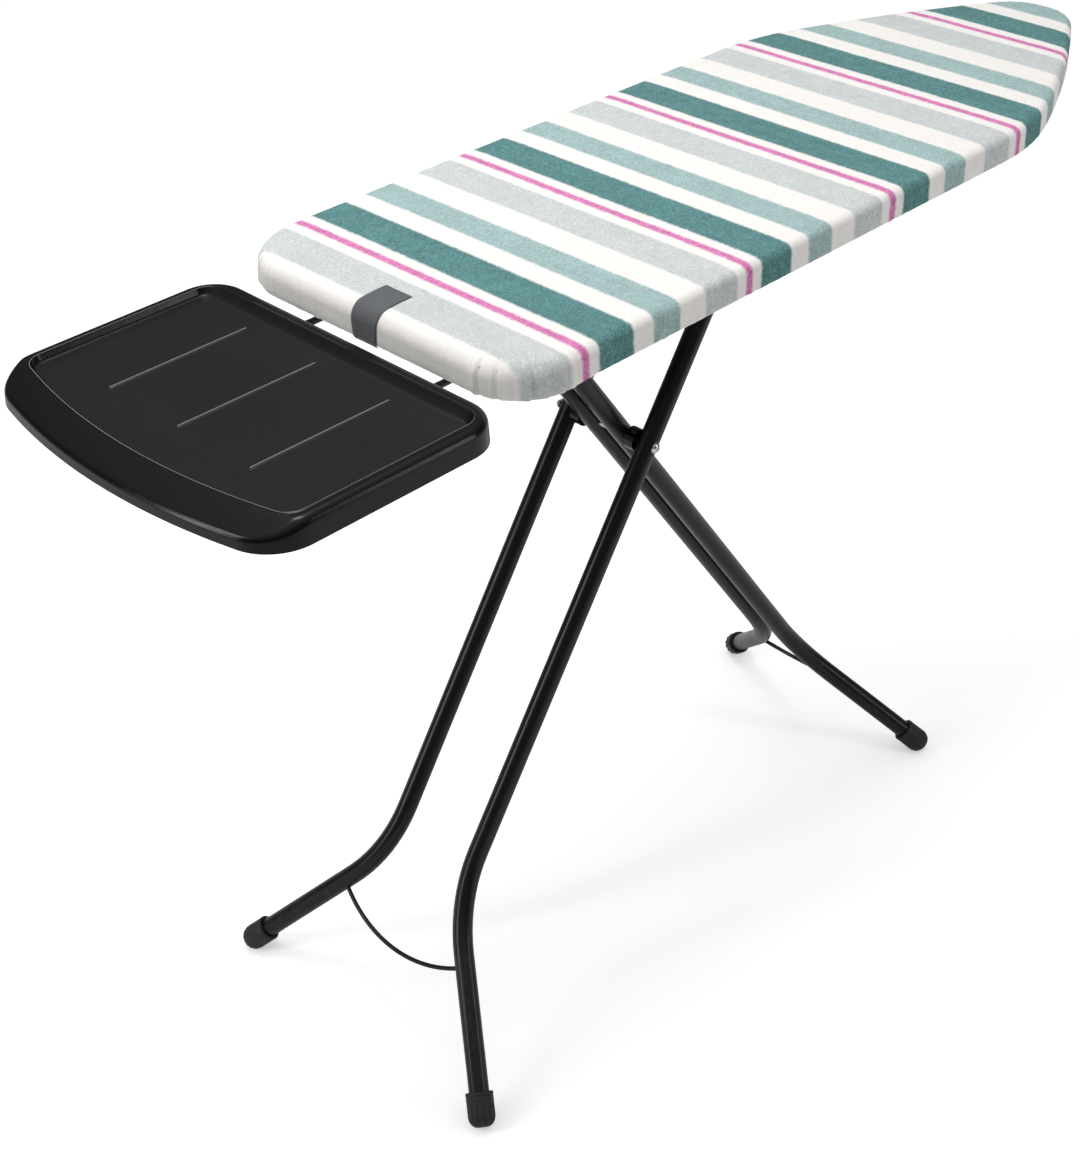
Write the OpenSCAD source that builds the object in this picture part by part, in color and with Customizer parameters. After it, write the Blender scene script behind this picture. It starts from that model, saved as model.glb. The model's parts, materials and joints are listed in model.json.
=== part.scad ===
// Folding ironing board with a steam-iron rest, all sizes in millimetres.
// +X runs from the heel (iron-rest end) to the nose, +Y is the left side, +Z is up.
// The origin is on the floor, under the middle of the whole object.

/* [Board] */
// Height of the ironing surface above the floor
surface_z = 985.7; // [970:0.1:1000]
// Thickness of the covered board, from the hem to the ironing surface
board_t = 35.7; // [34:0.1:38]
// Half of the board's width
half_w = 225; // [215:1:235]
// Radius of the two corners at the heel
heel_r = 75; // [60:1:90]
// Distance from the heel to where the sides begin to curve in
shoulder_x = 814; // [800:1:830]
// Radius of the shoulder curve
shoulder_r = 329; // [300:1:350]
// Angle that the shoulder curve turns through
shoulder_turn = 21.7; // [20:0.1:23]
// Radius of the long curve from the shoulder to the nose
taper_r = 1610; // [1500:1:1700]
// Radius of the nose
nose_r = 74; // [68:1:80]

/* [Padding] */
// Thickness of the cotton cover
cloth_t = 1.6; // [1.2:0.1:2]
// Thickness of the felt pad
pad_t = 7.7; // [6:0.1:8]
// Width of the hem that turns in under the board
hem_w = 28; // [24:1:34]

/* [Steel frame] */
// Thickness of the deck sheet
deck_t = 1; // [0.8:0.1:1.2]
// Height of the rim that the deck sheet is welded to
rim_h = 21.8; // [20:0.1:23]
// Thickness of the rim, rails and brackets
sheet_t = 1.5; // [1.2:0.1:2]
// Width of each cross brace
brace_w = 40; // [30:1:46]

/* [Legs] */
// Outside radius of the leg tubes
tube_r = 12.5; // [12:0.1:12.8]
// Wall thickness of the leg tubes
tube_wall = 1.2; // [1:0.1:1.5]
// Distance from the heel to the crossing of the legs
cross_x = 360.5; // [358:0.5:363]
// Height of the crossing of the legs
cross_z = 692.9; // [690:0.1:696]
// Angle between the outer legs and the floor, in side view
lean_outer = 55.94; // [55.5:0.01:56.5]
// Angle between the inner legs and the floor, in side view
lean_inner = 54.69; // [54.3:0.01:55.2]
// Distance of the outer legs from the middle
outer_y = 64.1; // [63.8:0.1:64.4]
// Distance of the inner legs from the middle
inner_y = 24.2; // [23.9:0.1:24.5]
// Length of the outer legs from the crossing to their bend
outer_reach = 608.6; // [600:0.1:616]
// Length of the inner legs from the crossing to their bend
inner_reach = 637.8; // [630:0.1:645]
// Angle that the outer legs splay at their bend
outer_splay = 36.6; // [35:0.1:38]
// Angle that the inner legs splay at their bend
inner_splay = 38.35; // [37:0.05:40]
// Radius of the bends, at the tube's centre line
bend_r = 200; // [180:1:220]
// Diameter of the stretcher wires
wire_d = 5.6; // [5:0.1:7]

/* [Feet] */
// Outside radius of the rubber feet
foot_r = 17; // [15:0.5:18]
// Length of the rubber feet
foot_len = 40; // [36:1:44]

/* [Iron rest] */
// Half of the tray's width
tray_half_w = 227; // [220:1:232]
// Distance from the heel to the tray's nearest edge
tray_gap = 18; // [14:1:22]
// Distance from the heel to the tray's front edge
tray_reach = 337; // [325:1:345]
// Radius of the tray's curved front edge
tray_front_r = 810; // [780:1:850]
// Height of the tray's rim above the floor
tray_z = 958; // [956:0.5:962]
// Depth of the recess that the iron stands in
recess_d = 7; // [6:0.5:8]
// Height of the tray's skirt
skirt_h = 28; // [26:1:30]
// Diameter of the rods that carry the tray
rod_d = 8; // [7:0.5:8]
// Distance of the rods from the middle
rod_y = 101; // [100:0.5:104]

/* [Height catch] */
// Angle that the catch is lifted clear of the crossbar
catch_lift = 8; // [7.8:0.1:8.5]
// Number of notches in the catch
notches = 9; // [9:1:9]

/* [Hidden] */
$fn = 48;
clear = 0.05;

// Outline of the board: arcs about three centres, measured from the heel
shoulder_c = [shoulder_x, half_w - shoulder_r];
taper_c = shoulder_c - (taper_r - shoulder_r) * [sin(shoulder_turn), cos(shoulder_turn)];
taper_turn = acos(-taper_c[1] / (taper_r - nose_r));
nose_c = [taper_c[0] + (taper_r - nose_r) * sin(taper_turn), 0];
board_len = nose_c[0] + nose_r;
heel_x = (tray_reach - board_len) / 2;

// Heights of the layers
hem_z = surface_z - board_t;
rim_z = hem_z + 3;
deck_z = rim_z + rim_h;
pad_z = deck_z + deck_t + 0.2;
brace_z = rim_z + sheet_t;
rim_inset = 3;

// Legs: both pairs turn about the crossing, and their tops lie at one height
leg_top_z = 930;
tube_in_r = tube_r - tube_wall;
arm_outer = (leg_top_z - cross_z) / sin(lean_outer);
arm_inner = (leg_top_z - cross_z) / sin(lean_inner);
crossbar_x = heel_x + cross_x + arm_outer * cos(lean_outer);
axle_x = heel_x + cross_x - arm_inner * cos(lean_inner);
top_stub = 14;
foot_end_z = 9;
foot_wall = 8;
outer_lower = ((cross_z - foot_end_z) / sin(lean_outer) - outer_reach) / cos(outer_splay);
inner_lower = ((cross_z - foot_end_z) / sin(lean_inner) - inner_reach) / cos(inner_splay);
bolt_r = 4;
axle_r = 5;
crossbar_r = 8;
crossbar_half = 81;
glide_r = 10;
glide_w = 17;
spacer_r = 14;
bracket_y = 39;
bracket_t = 2.5;

// Stretcher wires: arcs in the plane of each pair, as distance from the crossing, radius and half angle
outer_wire = [711, 193, 38];
inner_wire = [710, 222, 24];

// Frame under the deck, measured from the heel
brace_end_x = 70;
brace_hinge_x = axle_x - heel_x;
brace_mid_x = 470;
brace_toe_x = 850;
rail_y = 80;
rail_from = 450;
rail_to = 842;
rail_gap = 11.2;
rail_web = 21;

// Height catch: a shaft along X with a notched comb, squeezed up by a grip at the left edge
shaft_y = -44;
shaft_z = 944;
shaft_r = 4;
comb_y = 39;
tooth_tip = -10;
notch_root = -5;
notch_w = 17.2;
notch_pitch = 30.9;
arm_len = 216;
arm_drop = 21;
arm_x = 886;

// Iron rest
tray_front_c = tray_front_r - tray_reach;
apron_w = 35;
apron_drop = 15;
tray_wall = 2.5;
recess_half_w = 212;
clamp_x = [-60, -250];

// ---- Outlines -------------------------------------------------------------

function reverse(list) = [for (i = [len(list) - 1:-1:0]) list[i]];
function flip_y(list) = [for (p = list) [p[0], -p[1]]];
function arc(c, r, a0, a1, n) =
    [for (i = [0:n]) let (a = a0 + (a1 - a0) * i / n) c + r * [cos(a), sin(a)]];

// The left half of the board's edge, set in by an amount, from the heel to the nose
function heel_arc(inset) = arc([heel_r, half_w - heel_r], heel_r - inset, 180, 90, 8);
function toe_arcs(inset) = concat(
    arc(shoulder_c, shoulder_r - inset, 90, 90 - shoulder_turn, 8),
    arc(taper_c, taper_r - inset, 90 - shoulder_turn, 90 - taper_turn, 8),
    arc(nose_c, nose_r - inset, 90 - taper_turn, 0, 8)
);
function board_edge(inset) =
    let (left = concat(heel_arc(inset), toe_arcs(inset)))
    concat(left, reverse(flip_y(left)));

// Half width of the board at a distance from the heel
function width_at(x) =
    x < shoulder_x ? half_w :
    x < shoulder_c[0] + shoulder_r * sin(shoulder_turn) ?
        shoulder_c[1] + sqrt(shoulder_r ^ 2 - (x - shoulder_c[0]) ^ 2) :
    taper_c[1] + sqrt(taper_r ^ 2 - (x - taper_c[0]) ^ 2);

module board_plate(inset, z, h) {
    translate([heel_x, 0, z])
        linear_extrude(h) polygon(board_edge(inset));
}

// Plan of the tray, or of its recess: back edge, half width, front radius and corner radii
function tray_edge(back, hw, front, back_r, front_r) =
    let (
        cx = tray_front_c - sqrt((front - front_r) ^ 2 - (hw - front_r) ^ 2),
        turn = atan2(hw - front_r, cx - tray_front_c),
        left = concat(
            arc([-back - back_r, hw - back_r], back_r, 0, 90, 6),
            arc([cx, hw - front_r], front_r, 90, turn, 6),
            arc([tray_front_c, 0], front, turn, 180, 8)
        )
    )
    concat(left, reverse(flip_y(left)));

// ---- Board ----------------------------------------------------------------

// Steel sheet with diamond openings that let the steam out
module deck_sheet() {
    cell_x = 50;
    cell_y = 40;
    open_x = 19;
    open_y = 13;
    color("silver")
        translate([heel_x, 0, deck_z])
        linear_extrude(deck_t)
        difference() {
            polygon(board_edge(rim_inset));
            for (i = [1:24], j = [-5:5]) {
                x = i * cell_x - 5;
                y = (j + (i % 2) / 2) * cell_y;
                if (abs(y) + open_y < min(width_at(x + open_x), half_w) - 24 && x > 40)
                    translate([x, y])
                        polygon([[-open_x, 0], [0, open_y], [open_x, 0], [0, -open_y]]);
            }
        }
}

// A length of the rim: an upright band with a flange that turns in at its foot
module rim_part(outer, band, flange) {
    color("dimgray")
        translate([heel_x, 0, rim_z]) {
            linear_extrude(rim_h) polygon(concat(outer, reverse(band)));
            linear_extrude(sheet_t) polygon(concat(outer, reverse(flange)));
        }
}

function heel_run(inset) =
    let (left = heel_arc(inset))
    concat(reverse(left), flip_y(left));
function side_run(inset) = [[heel_r, half_w - inset], [shoulder_x, half_w - inset]];

rim_insets = [rim_inset, rim_inset + sheet_t, rim_inset + 13];

module rim_heel() {
    rim_part(heel_run(rim_insets[0]), heel_run(rim_insets[1]), heel_run(rim_insets[2]));
}

module rim_side() {
    rim_part(side_run(rim_insets[0]), side_run(rim_insets[1]), side_run(rim_insets[2]));
}

module rim_toe() {
    rim_part(toe_arcs(rim_insets[0]), toe_arcs(rim_insets[1]), toe_arcs(rim_insets[2]));
}

module rim_side_left() rim_side();
module rim_side_right() mirror([0, 1, 0]) rim_side();
module rim_toe_left() rim_toe();
module rim_toe_right() mirror([0, 1, 0]) rim_toe();

// Box section across the board, cut to fit inside the rim
module brace(x) {
    h = deck_z - brace_z;
    color("dimgray")
        intersection() {
            translate([heel_x + x - brace_w / 2, -half_w, brace_z])
                difference() {
                    cube([brace_w, 2 * half_w, h]);
                    translate([sheet_t, -1, sheet_t])
                        cube([brace_w - 2 * sheet_t, 2 * half_w + 2, h - 2 * sheet_t]);
                }
            board_plate(rim_insets[1], brace_z, h);
        }
}

module brace_end() brace(brace_end_x);
module brace_hinge() brace(brace_hinge_x);
module brace_mid() brace(brace_mid_x);
module brace_toe() brace(brace_toe_x);

// Channel that the crossbar's glide runs in, hung from the braces by its web
module rail() {
    length = rail_to - rail_from;
    flange_w = rail_web;
    color("dimgray")
        translate([heel_x + rail_from, rail_y, 0]) {
            translate([0, 0, leg_top_z - rail_gap - sheet_t])
                cube([length, flange_w, sheet_t]);
            translate([0, 0, leg_top_z + rail_gap])
                cube([length, flange_w, sheet_t]);
            translate([0, rail_web - sheet_t, leg_top_z - rail_gap - sheet_t])
                cube([length, sheet_t, brace_z - leg_top_z + rail_gap + sheet_t]);
            translate([0, rail_web - sheet_t, brace_z - sheet_t])
                cube([length, flange_w, sheet_t]);
        }
}

module rail_left() rail();
module rail_right() mirror([0, 1, 0]) rail();

// Ear that carries the inner legs' axle
module hinge_bracket() {
    ear_w = 36;
    ear_z = 916;
    color("dimgray")
        difference() {
            translate([axle_x - ear_w / 2, bracket_y, 0]) {
                translate([0, 0, ear_z])
                    cube([ear_w, bracket_t, brace_z - ear_z]);
                translate([0, 0, brace_z - bracket_t])
                    cube([ear_w, 22, bracket_t]);
            }
            translate([axle_x, 0, leg_top_z])
                rotate([-90, 0, 0])
                cylinder(h = 60, r = axle_r + clear);
        }
}

module hinge_bracket_left() hinge_bracket();
module hinge_bracket_right() mirror([0, 1, 0]) hinge_bracket();

// Rivet heads under the flanges of the rails, the hinge brackets and the catch hangers
module frame_rivets() {
    head_r = 3;
    head_h = 1.5;
    rail_flange_y = rail_y + rail_web + 10;
    rail_rivets = [for (x = [brace_mid_x - 8, brace_toe_x - 14], y = [-1, 1])
        [heel_x + x, y * rail_flange_y, brace_z - sheet_t]];
    hinge_rivets = [for (x = [-11, 11], y = [-1, 1])
        [axle_x + x, y * 54, brace_z - bracket_t]];
    hanger_rivets = [for (x = [brace_mid_x, brace_toe_x - 8])
        [heel_x + x, shaft_y - 8, brace_z - bracket_t]];
    color("gray")
        for (p = concat(rail_rivets, hinge_rivets, hanger_rivets))
            translate(p - [0, 0, head_h])
                cylinder(h = head_h, r = head_r);
}

// ---- Padding --------------------------------------------------------------

module pad() {
    color("whitesmoke")
        board_plate(cloth_t + 0.2, pad_z, pad_t);
}

// Closed cloth shell: top, sides and a hem that turns in under the rim
module cover() {
    color("cadetblue")
        difference() {
            board_plate(0, hem_z, board_t);
            board_plate(cloth_t, hem_z + cloth_t, board_t - 2 * cloth_t);
            board_plate(hem_w, hem_z - 1, cloth_t + 2);
        }
}

// Woven tab sewn over the heel's edge
module label_tab() {
    tab_y = 3;
    tab_w = 40;
    tab_len = 50;
    tab_t = 0.6;
    color("darkslategray")
        translate([heel_x - tab_t, tab_y - tab_w / 2, 0]) {
            translate([0, 0, surface_z])
                cube([tab_len + tab_t, tab_w, tab_t]);
            translate([0, 0, hem_z])
                cube([tab_t, tab_w, board_t + tab_t]);
        }
}

// ---- Iron rest ------------------------------------------------------------

// Solid bounded by the sloping apron at the tray's front, lowered and set in by amounts
module apron_cone(drop, inset) {
    foot_z = tray_z - skirt_h - 1;
    crease_z = tray_z - apron_drop - drop;
    crease_r = tray_front_r - inset;
    ridge_w = 2;
    translate([heel_x + tray_front_c, 0, 0]) {
        translate([0, 0, foot_z])
            cylinder(h = crease_z - foot_z, r = crease_r, $fn = 360);
        translate([0, 0, crease_z])
            cylinder(h = apron_drop, r1 = crease_r, r2 = crease_r - apron_w + ridge_w, $fn = 360);
    }
}

module rest_tray() {
    floor_z = tray_z - recess_d;
    rib_w = 3;
    rib_h = 1.5;
    plan = tray_edge(tray_gap, tray_half_w, tray_front_r, 45, 55);
    hollow = tray_edge(tray_gap + tray_wall, tray_half_w - tray_wall, tray_front_r - tray_wall, 42.5, 52.5);
    recess = tray_edge(29, recess_half_w, tray_front_r - apron_w, 22, 22);
    color("black") {
        difference() {
            intersection() {
                translate([heel_x, 0, tray_z - skirt_h])
                    linear_extrude(skirt_h) polygon(plan);
                apron_cone(0, 0);
            }
            translate([heel_x, 0, floor_z])
                linear_extrude(recess_d + 1) polygon(recess);
            intersection() {
                translate([heel_x, 0, tray_z - skirt_h - 1])
                    linear_extrude(skirt_h + 1 - recess_d - tray_wall) polygon(hollow);
                apron_cone(tray_wall + 0.5, tray_wall);
            }
            for (side = [-1, 1])
                translate([heel_x - 60, side * rod_y, tray_z - 25])
                    rotate([0, 90, 0])
                    cylinder(h = 60, r = rod_d / 2 + 0.3);
        }
        for (y = [-112, 0, 112])
            translate([heel_x - 240, y - rib_w / 2, floor_z])
                cube([170, rib_w, rib_h]);
    }
}

// Rod from under the tray to the second cross brace
module rest_rod(side) {
    color("black")
        translate([heel_x - 290, side * rod_y, tray_z - 25])
        rotate([0, 90, 0])
        cylinder(h = 290 + brace_hinge_x + 14, r = rod_d / 2);
}

module rest_rod_left() rest_rod(1);
module rest_rod_right() rest_rod(-1);

// Block with a rod through it, from a height up to its seat
module rod_block(x, side, from_z, to_z) {
    translate([heel_x + x - 12, side * rod_y - 9, from_z])
        difference() {
            cube([24, 18, to_z - from_z]);
            translate([-1, 9, tray_z - 25 - from_z])
                rotate([0, 90, 0])
                cylinder(h = 26, r = rod_d / 2);
        }
}

module rod_saddles() {
    color("darkgray")
        for (x = [brace_end_x, brace_hinge_x], side = [-1, 1])
            rod_block(x, side, 925, brace_z);
}

module tray_clamps() {
    color("black")
        for (x = clamp_x, side = [-1, 1])
            rod_block(x, side, 927, tray_z - recess_d - tray_wall);
}

module tray_screws() {
    color("silver")
        for (x = clamp_x, side = [-1, 1], end = [-8, 8])
            translate([heel_x + x + end, side * rod_y, 925])
                difference() {
                    cylinder(h = 2, r = 3.5);
                    translate([-2.5, -0.5, -1]) cube([5, 1, 2]);
                    translate([-0.5, -2.5, -1]) cube([1, 5, 2]);
                }
}

// ---- Height catch ---------------------------------------------------------

// Turns the catch about its shaft by the lift that clears the crossbar
module lifted() {
    translate([0, shaft_y, shaft_z])
        rotate([catch_lift, 0, 0])
        children();
}

// Angle bracket under a brace, with a hole for the catch's shaft
module catch_hanger(x, flange) {
    low = shaft_z - 9;
    color("dimgray")
        difference() {
            translate([heel_x + x, shaft_y - 12, 0]) {
                translate([0, 0, low])
                    cube([bracket_t, 24, brace_z - low]);
                translate([bracket_t - flange, 0, brace_z - bracket_t])
                    cube([flange, 24, bracket_t]);
            }
            translate([heel_x + x - 1, shaft_y, shaft_z])
                rotate([0, 90, 0])
                cylinder(h = bracket_t + 2, r = shaft_r + clear);
        }
}

module catch_hanger_front() catch_hanger(500, 48);
module catch_hanger_rear() catch_hanger(874, 42);

// Torsion spring that presses the comb down on the crossbar
module catch_spring() {
    color("gainsboro")
        for (i = [0:4])
            translate([heel_x + 878.4 + 1.35 * i, shaft_y, shaft_z])
                rotate([0, 90, 0])
                rotate_extrude() translate([6.2, 0]) circle(r = 0.6, $fn = 16);
}

module catch_shaft() {
    color("silver")
        lifted()
        translate([heel_x + 497, 0, 0])
        rotate([0, 90, 0])
        cylinder(h = 411, r = shaft_r);
}

// Angle strip whose notches drop over the crossbar
module catch_comb() {
    x0 = crossbar_x - notch_w / 2 - 5;
    length = (notches - 1) * notch_pitch + notch_w + 10;
    color("silver")
        lifted()
        difference() {
            union() {
                translate([x0, 0, 0.5])
                    cube([length, comb_y + 2.5, 2]);
                translate([x0, comb_y, tooth_tip])
                    cube([length, 2.5, 2.5 - tooth_tip]);
            }
            translate([x0 - 1, 0, 0])
                rotate([0, 90, 0])
                cylinder(h = length + 2, r = shaft_r);
            for (i = [0:notches - 1])
                translate([crossbar_x + i * notch_pitch - notch_w / 2, comb_y - 1, tooth_tip - 1])
                    cube([notch_w, 4.5, notch_root - tooth_tip + 1]);
        }
}

// The arm is drawn in its place with the catch lifted
module beside_shaft() {
    translate([0, shaft_y, shaft_z])
        children();
}

// Flat arm from the shaft to the grip; grown gives the slot that it fits in
module arm_blade(grown) {
    boss_r = 9;
    end_h = 6 + grown;
    translate([heel_x + arm_x - grown, 0, 0])
        rotate([90, 0, 90])
        linear_extrude(4 + 2 * grown)
        difference() {
            union() {
                circle(r = boss_r);
                polygon([
                    [-1, -boss_r + 0.5],
                    [arm_len, -arm_drop - end_h],
                    [arm_len, -arm_drop + end_h],
                    [1, boss_r - 0.5]
                ]);
            }
            circle(r = shaft_r);
        }
}

module catch_arm() {
    color("silver")
        beside_shaft() arm_blade(0);
}

// Plastic sleeve that the hand squeezes
module catch_grip() {
    sleeve_len = 100;
    sleeve_w = 26;
    sleeve_h = 20;
    tilt = atan(arm_drop / arm_len);
    color("black")
        beside_shaft()
        difference() {
            translate([heel_x + arm_x + 2, arm_len - sleeve_len + 6, -arm_drop + 4.6])
                rotate([-tilt, 0, 0])
                translate([0, 0, -sleeve_h / 2])
                linear_extrude(sleeve_h)
                union() {
                    for (y = [sleeve_w / 2, sleeve_len - sleeve_w / 2])
                        translate([0, y]) circle(d = sleeve_w);
                    translate([-sleeve_w / 2, sleeve_w / 2])
                        square([sleeve_w, sleeve_len - sleeve_w]);
                }
            arm_blade(0.1);
        }
}

// ---- Legs -----------------------------------------------------------------

// Frames along the legs: local X runs down the leg from the crossing, local Y is across
module along_outer() {
    translate([heel_x + cross_x, 0, cross_z])
        rotate([0, 180 - lean_outer, 0])
        children();
}

module along_inner() {
    translate([heel_x + cross_x, 0, cross_z])
        rotate([0, lean_inner, 0])
        children();
}

// Cylinder along local X
module bar(from, to, r) {
    translate([from, 0, 0])
        rotate([0, 90, 0])
        cylinder(h = to - from, r = r);
}

// Ring section that a tube is swept from, or a disc where the bore is 0
module ring(r, bore) {
    difference() {
        circle(r = r);
        if (bore > 0) circle(r = bore);
    }
}

// Straight length, bend towards +Y and splayed length
module bent_tube(top, reach, splay, lower) {
    tangent = bend_r * tan(splay / 2);
    translate([-top, 0, 0])
        rotate([0, 90, 0])
        linear_extrude(top + reach - tangent) ring(tube_r, tube_in_r);
    translate([reach - tangent, bend_r, 0])
        rotate([0, 0, -90])
        rotate_extrude(angle = splay)
        translate([bend_r, 0]) ring(tube_r, tube_in_r);
    translate([reach, 0, 0])
        rotate([0, 0, splay])
        translate([tangent, 0, 0])
        rotate([0, 90, 0])
        linear_extrude(lower - tangent - foot_wall) ring(tube_r, tube_in_r);
}

// Hole across a pair of legs, at a distance down the leg
module cross_hole(at, r) {
    translate([at, 0, 0])
        rotate([90, 0, 0])
        cylinder(h = 300, r = r, center = true);
}

module outer_leg() {
    color("black")
        along_outer()
        difference() {
            translate([0, outer_y, 0])
                bent_tube(arm_outer + top_stub, outer_reach, outer_splay, outer_lower);
            cross_hole(0, bolt_r);
            cross_hole(-arm_outer, crossbar_r);
        }
}

module inner_leg() {
    color("black")
        along_inner()
        difference() {
            translate([0, inner_y, 0])
                bent_tube(arm_inner + top_stub, inner_reach, inner_splay, inner_lower);
            cross_hole(0, bolt_r + clear);
            cross_hole(-arm_inner, axle_r);
        }
}

module outer_leg_left() outer_leg();
module outer_leg_right() mirror([0, 1, 0]) outer_leg();
module inner_leg_left() inner_leg();
module inner_leg_right() mirror([0, 1, 0]) inner_leg();

// Rubber cap, worn flat where it stands on the floor
module foot_cap(y, reach, splay, lower) {
    round_r = 6;
    lip = 1.5;
    translate([reach, y, 0])
        rotate([0, 0, splay])
        translate([lower, 0, 0])
        rotate([0, -90, 0])
        rotate_extrude()
        polygon(concat(
            [[0, 0]],
            arc([foot_r - round_r, round_r], round_r, -90, 0, 6),
            [
                [foot_r - 0.5, foot_len - lip],
                [foot_r - lip - 0.5, foot_len],
                [tube_r, foot_len],
                [tube_r, foot_wall],
                [0, foot_wall]
            ]
        ));
}

module above_floor() {
    color("black")
        intersection() {
            children();
            translate([-1000, -500, 0]) cube([2000, 1000, 120]);
        }
}

module outer_foot() {
    above_floor() along_outer() foot_cap(outer_y, outer_reach, outer_splay, outer_lower);
}

module inner_foot() {
    above_floor() along_inner() foot_cap(inner_y, inner_reach, inner_splay, inner_lower);
}

module outer_foot_left() outer_foot();
module outer_foot_right() mirror([0, 1, 0]) outer_foot();
module inner_foot_left() inner_foot();
module inner_foot_right() mirror([0, 1, 0]) inner_foot();

// Curved wire between the splayed legs, cut where it meets the tubes
module stretcher(wire, y, reach, splay) {
    color("black")
        difference() {
            translate([wire[0] - wire[1], 0, 0])
                rotate([0, 0, -wire[2]])
                rotate_extrude(angle = 2 * wire[2])
                translate([wire[1], 0]) circle(d = wire_d);
            for (side = [0, 1])
                mirror([0, side, 0])
                    translate([reach, y, 0])
                    rotate([0, 0, splay])
                    bar(0, 250, tube_r);
            for (side = [0, 1])
                mirror([0, side, 0])
                    translate([reach, y, 0])
                    rotate([0, 0, splay])
                    translate([0, tube_r * 0.6, -tube_r])
                    cube([250, 80, 2 * tube_r]);
        }
}

module outer_stretcher() {
    along_outer() stretcher(outer_wire, outer_y, outer_reach, outer_splay);
}

module inner_stretcher() {
    along_inner() stretcher(inner_wire, inner_y, inner_reach, inner_splay);
}

// Cylinder along Y
module cross_bar(y0, y1, r) {
    translate([0, y0, 0])
        rotate([-90, 0, 0])
        cylinder(h = y1 - y0, r = r);
}

// ---- Inner legs' hinge ----------------------------------------------------

module inner_axle() {
    color("silver")
        translate([axle_x, 0, leg_top_z])
        cross_bar(-46, 46, axle_r);
}

module axle_caps() {
    color("black")
        translate([axle_x, 0, leg_top_z])
        for (side = [0, 1])
            mirror([0, side, 0])
                difference() {
                    cross_bar(42, 45.5, 9);
                    cross_bar(41, 47, axle_r);
                }
}

// Plate welded between the inner legs, just above the crossing
module bridge_plate() {
    plate_from = -62;
    plate_len = 34;
    color("black")
        along_inner()
        difference() {
            translate([plate_from, -inner_y, -1.5])
                cube([plate_len, 2 * inner_y, 3]);
            for (side = [-1, 1])
                translate([0, side * inner_y, 0])
                    bar(plate_from - 1, plate_from + plate_len + 1, tube_r);
            for (side = [-1, 1])
                translate([plate_from - 1, side * (inner_y + tube_r / 2) - tube_r / 2, -tube_r])
                    cube([plate_len + 2, tube_r, 2 * tube_r]);
        }
}

// ---- Outer legs' crossbar and pivot ---------------------------------------

module crossbar() {
    color("silver")
        translate([crossbar_x, 0, leg_top_z])
        difference() {
            cross_bar(-crossbar_half, crossbar_half, crossbar_r);
            cross_bar(-crossbar_half - 1, crossbar_half + 1, crossbar_r - 1.4);
        }
}

// Round nylon glide with a spigot in the end of the crossbar
module glide() {
    color("white")
        translate([crossbar_x, 0, leg_top_z]) {
            cross_bar(crossbar_half, crossbar_half + glide_w, glide_r);
            cross_bar(crossbar_half - 20, crossbar_half, crossbar_r - 1.5);
        }
}

module glide_left() glide();
module glide_right() mirror([0, 1, 0]) glide();

module at_crossing() {
    translate([heel_x + cross_x, 0, cross_z]) children();
}

// Domed bolt through both pairs of legs, with its head on the right
module pivot_bolt() {
    head_y = outer_y + tube_r + 0.1;
    head_r = 7;
    head_h = 4.2;
    dome_r = (head_r ^ 2 + head_h ^ 2) / (2 * head_h);
    color("silver")
        at_crossing() {
            cross_bar(-head_y, head_y + 7, bolt_r);
            difference() {
                intersection() {
                    translate([0, -head_y - head_h + dome_r, 0]) sphere(r = dome_r, $fn = 64);
                    cross_bar(-head_y - head_h - 1, -head_y, head_r + 1);
                }
                for (turn = [0, 90])
                    rotate([0, turn, 0])
                        translate([-3.5, -head_y - head_h - 1, -0.7]) cube([7, 2.8, 1.4]);
            }
        }
}

// Thin nut, which passes beside the rail when the legs fold
module pivot_nut() {
    nut_y = outer_y + tube_r + 0.1;
    nut_t = 3;
    color("silver")
        at_crossing()
        difference() {
            translate([0, nut_y, 0])
                rotate([-90, 0, 0])
                cylinder(h = nut_t, r = 7.5, $fn = 6);
            cross_bar(nut_y - 1, nut_y + nut_t + 1, bolt_r);
        }
}

// Black spacer that fills the gap between an inner and an outer leg
module pivot_spacer() {
    gap = 0.3;
    color("black")
        at_crossing()
        difference() {
            cross_bar(inner_y + tube_r + gap, outer_y - tube_r - gap, spacer_r);
            cross_bar(inner_y, outer_y, bolt_r);
        }
}

module pivot_spacer_left() pivot_spacer();
module pivot_spacer_right() mirror([0, 1, 0]) pivot_spacer();

// ---- Nodes ----------------------------------------------------------------

deck_sheet();
rim_heel();
rim_side_left();
rim_side_right();
rim_toe_left();
rim_toe_right();
brace_end();
brace_hinge();
brace_mid();
brace_toe();
rail_left();
rail_right();
hinge_bracket_left();
hinge_bracket_right();
frame_rivets();
pad();
cover();
label_tab();
rest_tray();
rest_rod_left();
rest_rod_right();
rod_saddles();
tray_clamps();
tray_screws();
catch_hanger_front();
catch_hanger_rear();
catch_spring();
catch_shaft();
catch_comb();
catch_arm();
catch_grip();
inner_leg_left();
inner_leg_right();
inner_foot_left();
inner_foot_right();
inner_stretcher();
inner_axle();
axle_caps();
bridge_plate();
outer_leg_left();
outer_leg_right();
outer_foot_left();
outer_foot_right();
outer_stretcher();
crossbar();
glide_left();
glide_right();
pivot_bolt();
pivot_nut();
pivot_spacer_left();
pivot_spacer_right();
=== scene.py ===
"""Folding ironing board with an iron rest: its cloth, plastic, rubber and metal finishes.

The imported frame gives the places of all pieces, and the bodies that they ride on.

All sizes are in metres. +X runs from the heel, where the iron rest is, to the nose. +Y is the left side and
+Z is up.
"""

import json
import math

import bpy
import numpy as np
from bpy.props import FloatProperty, FloatVectorProperty, IntProperty, PointerProperty
from mathutils import Matrix, Vector, noise
from mathutils.geometry import delaunay_2d_cdt


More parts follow.
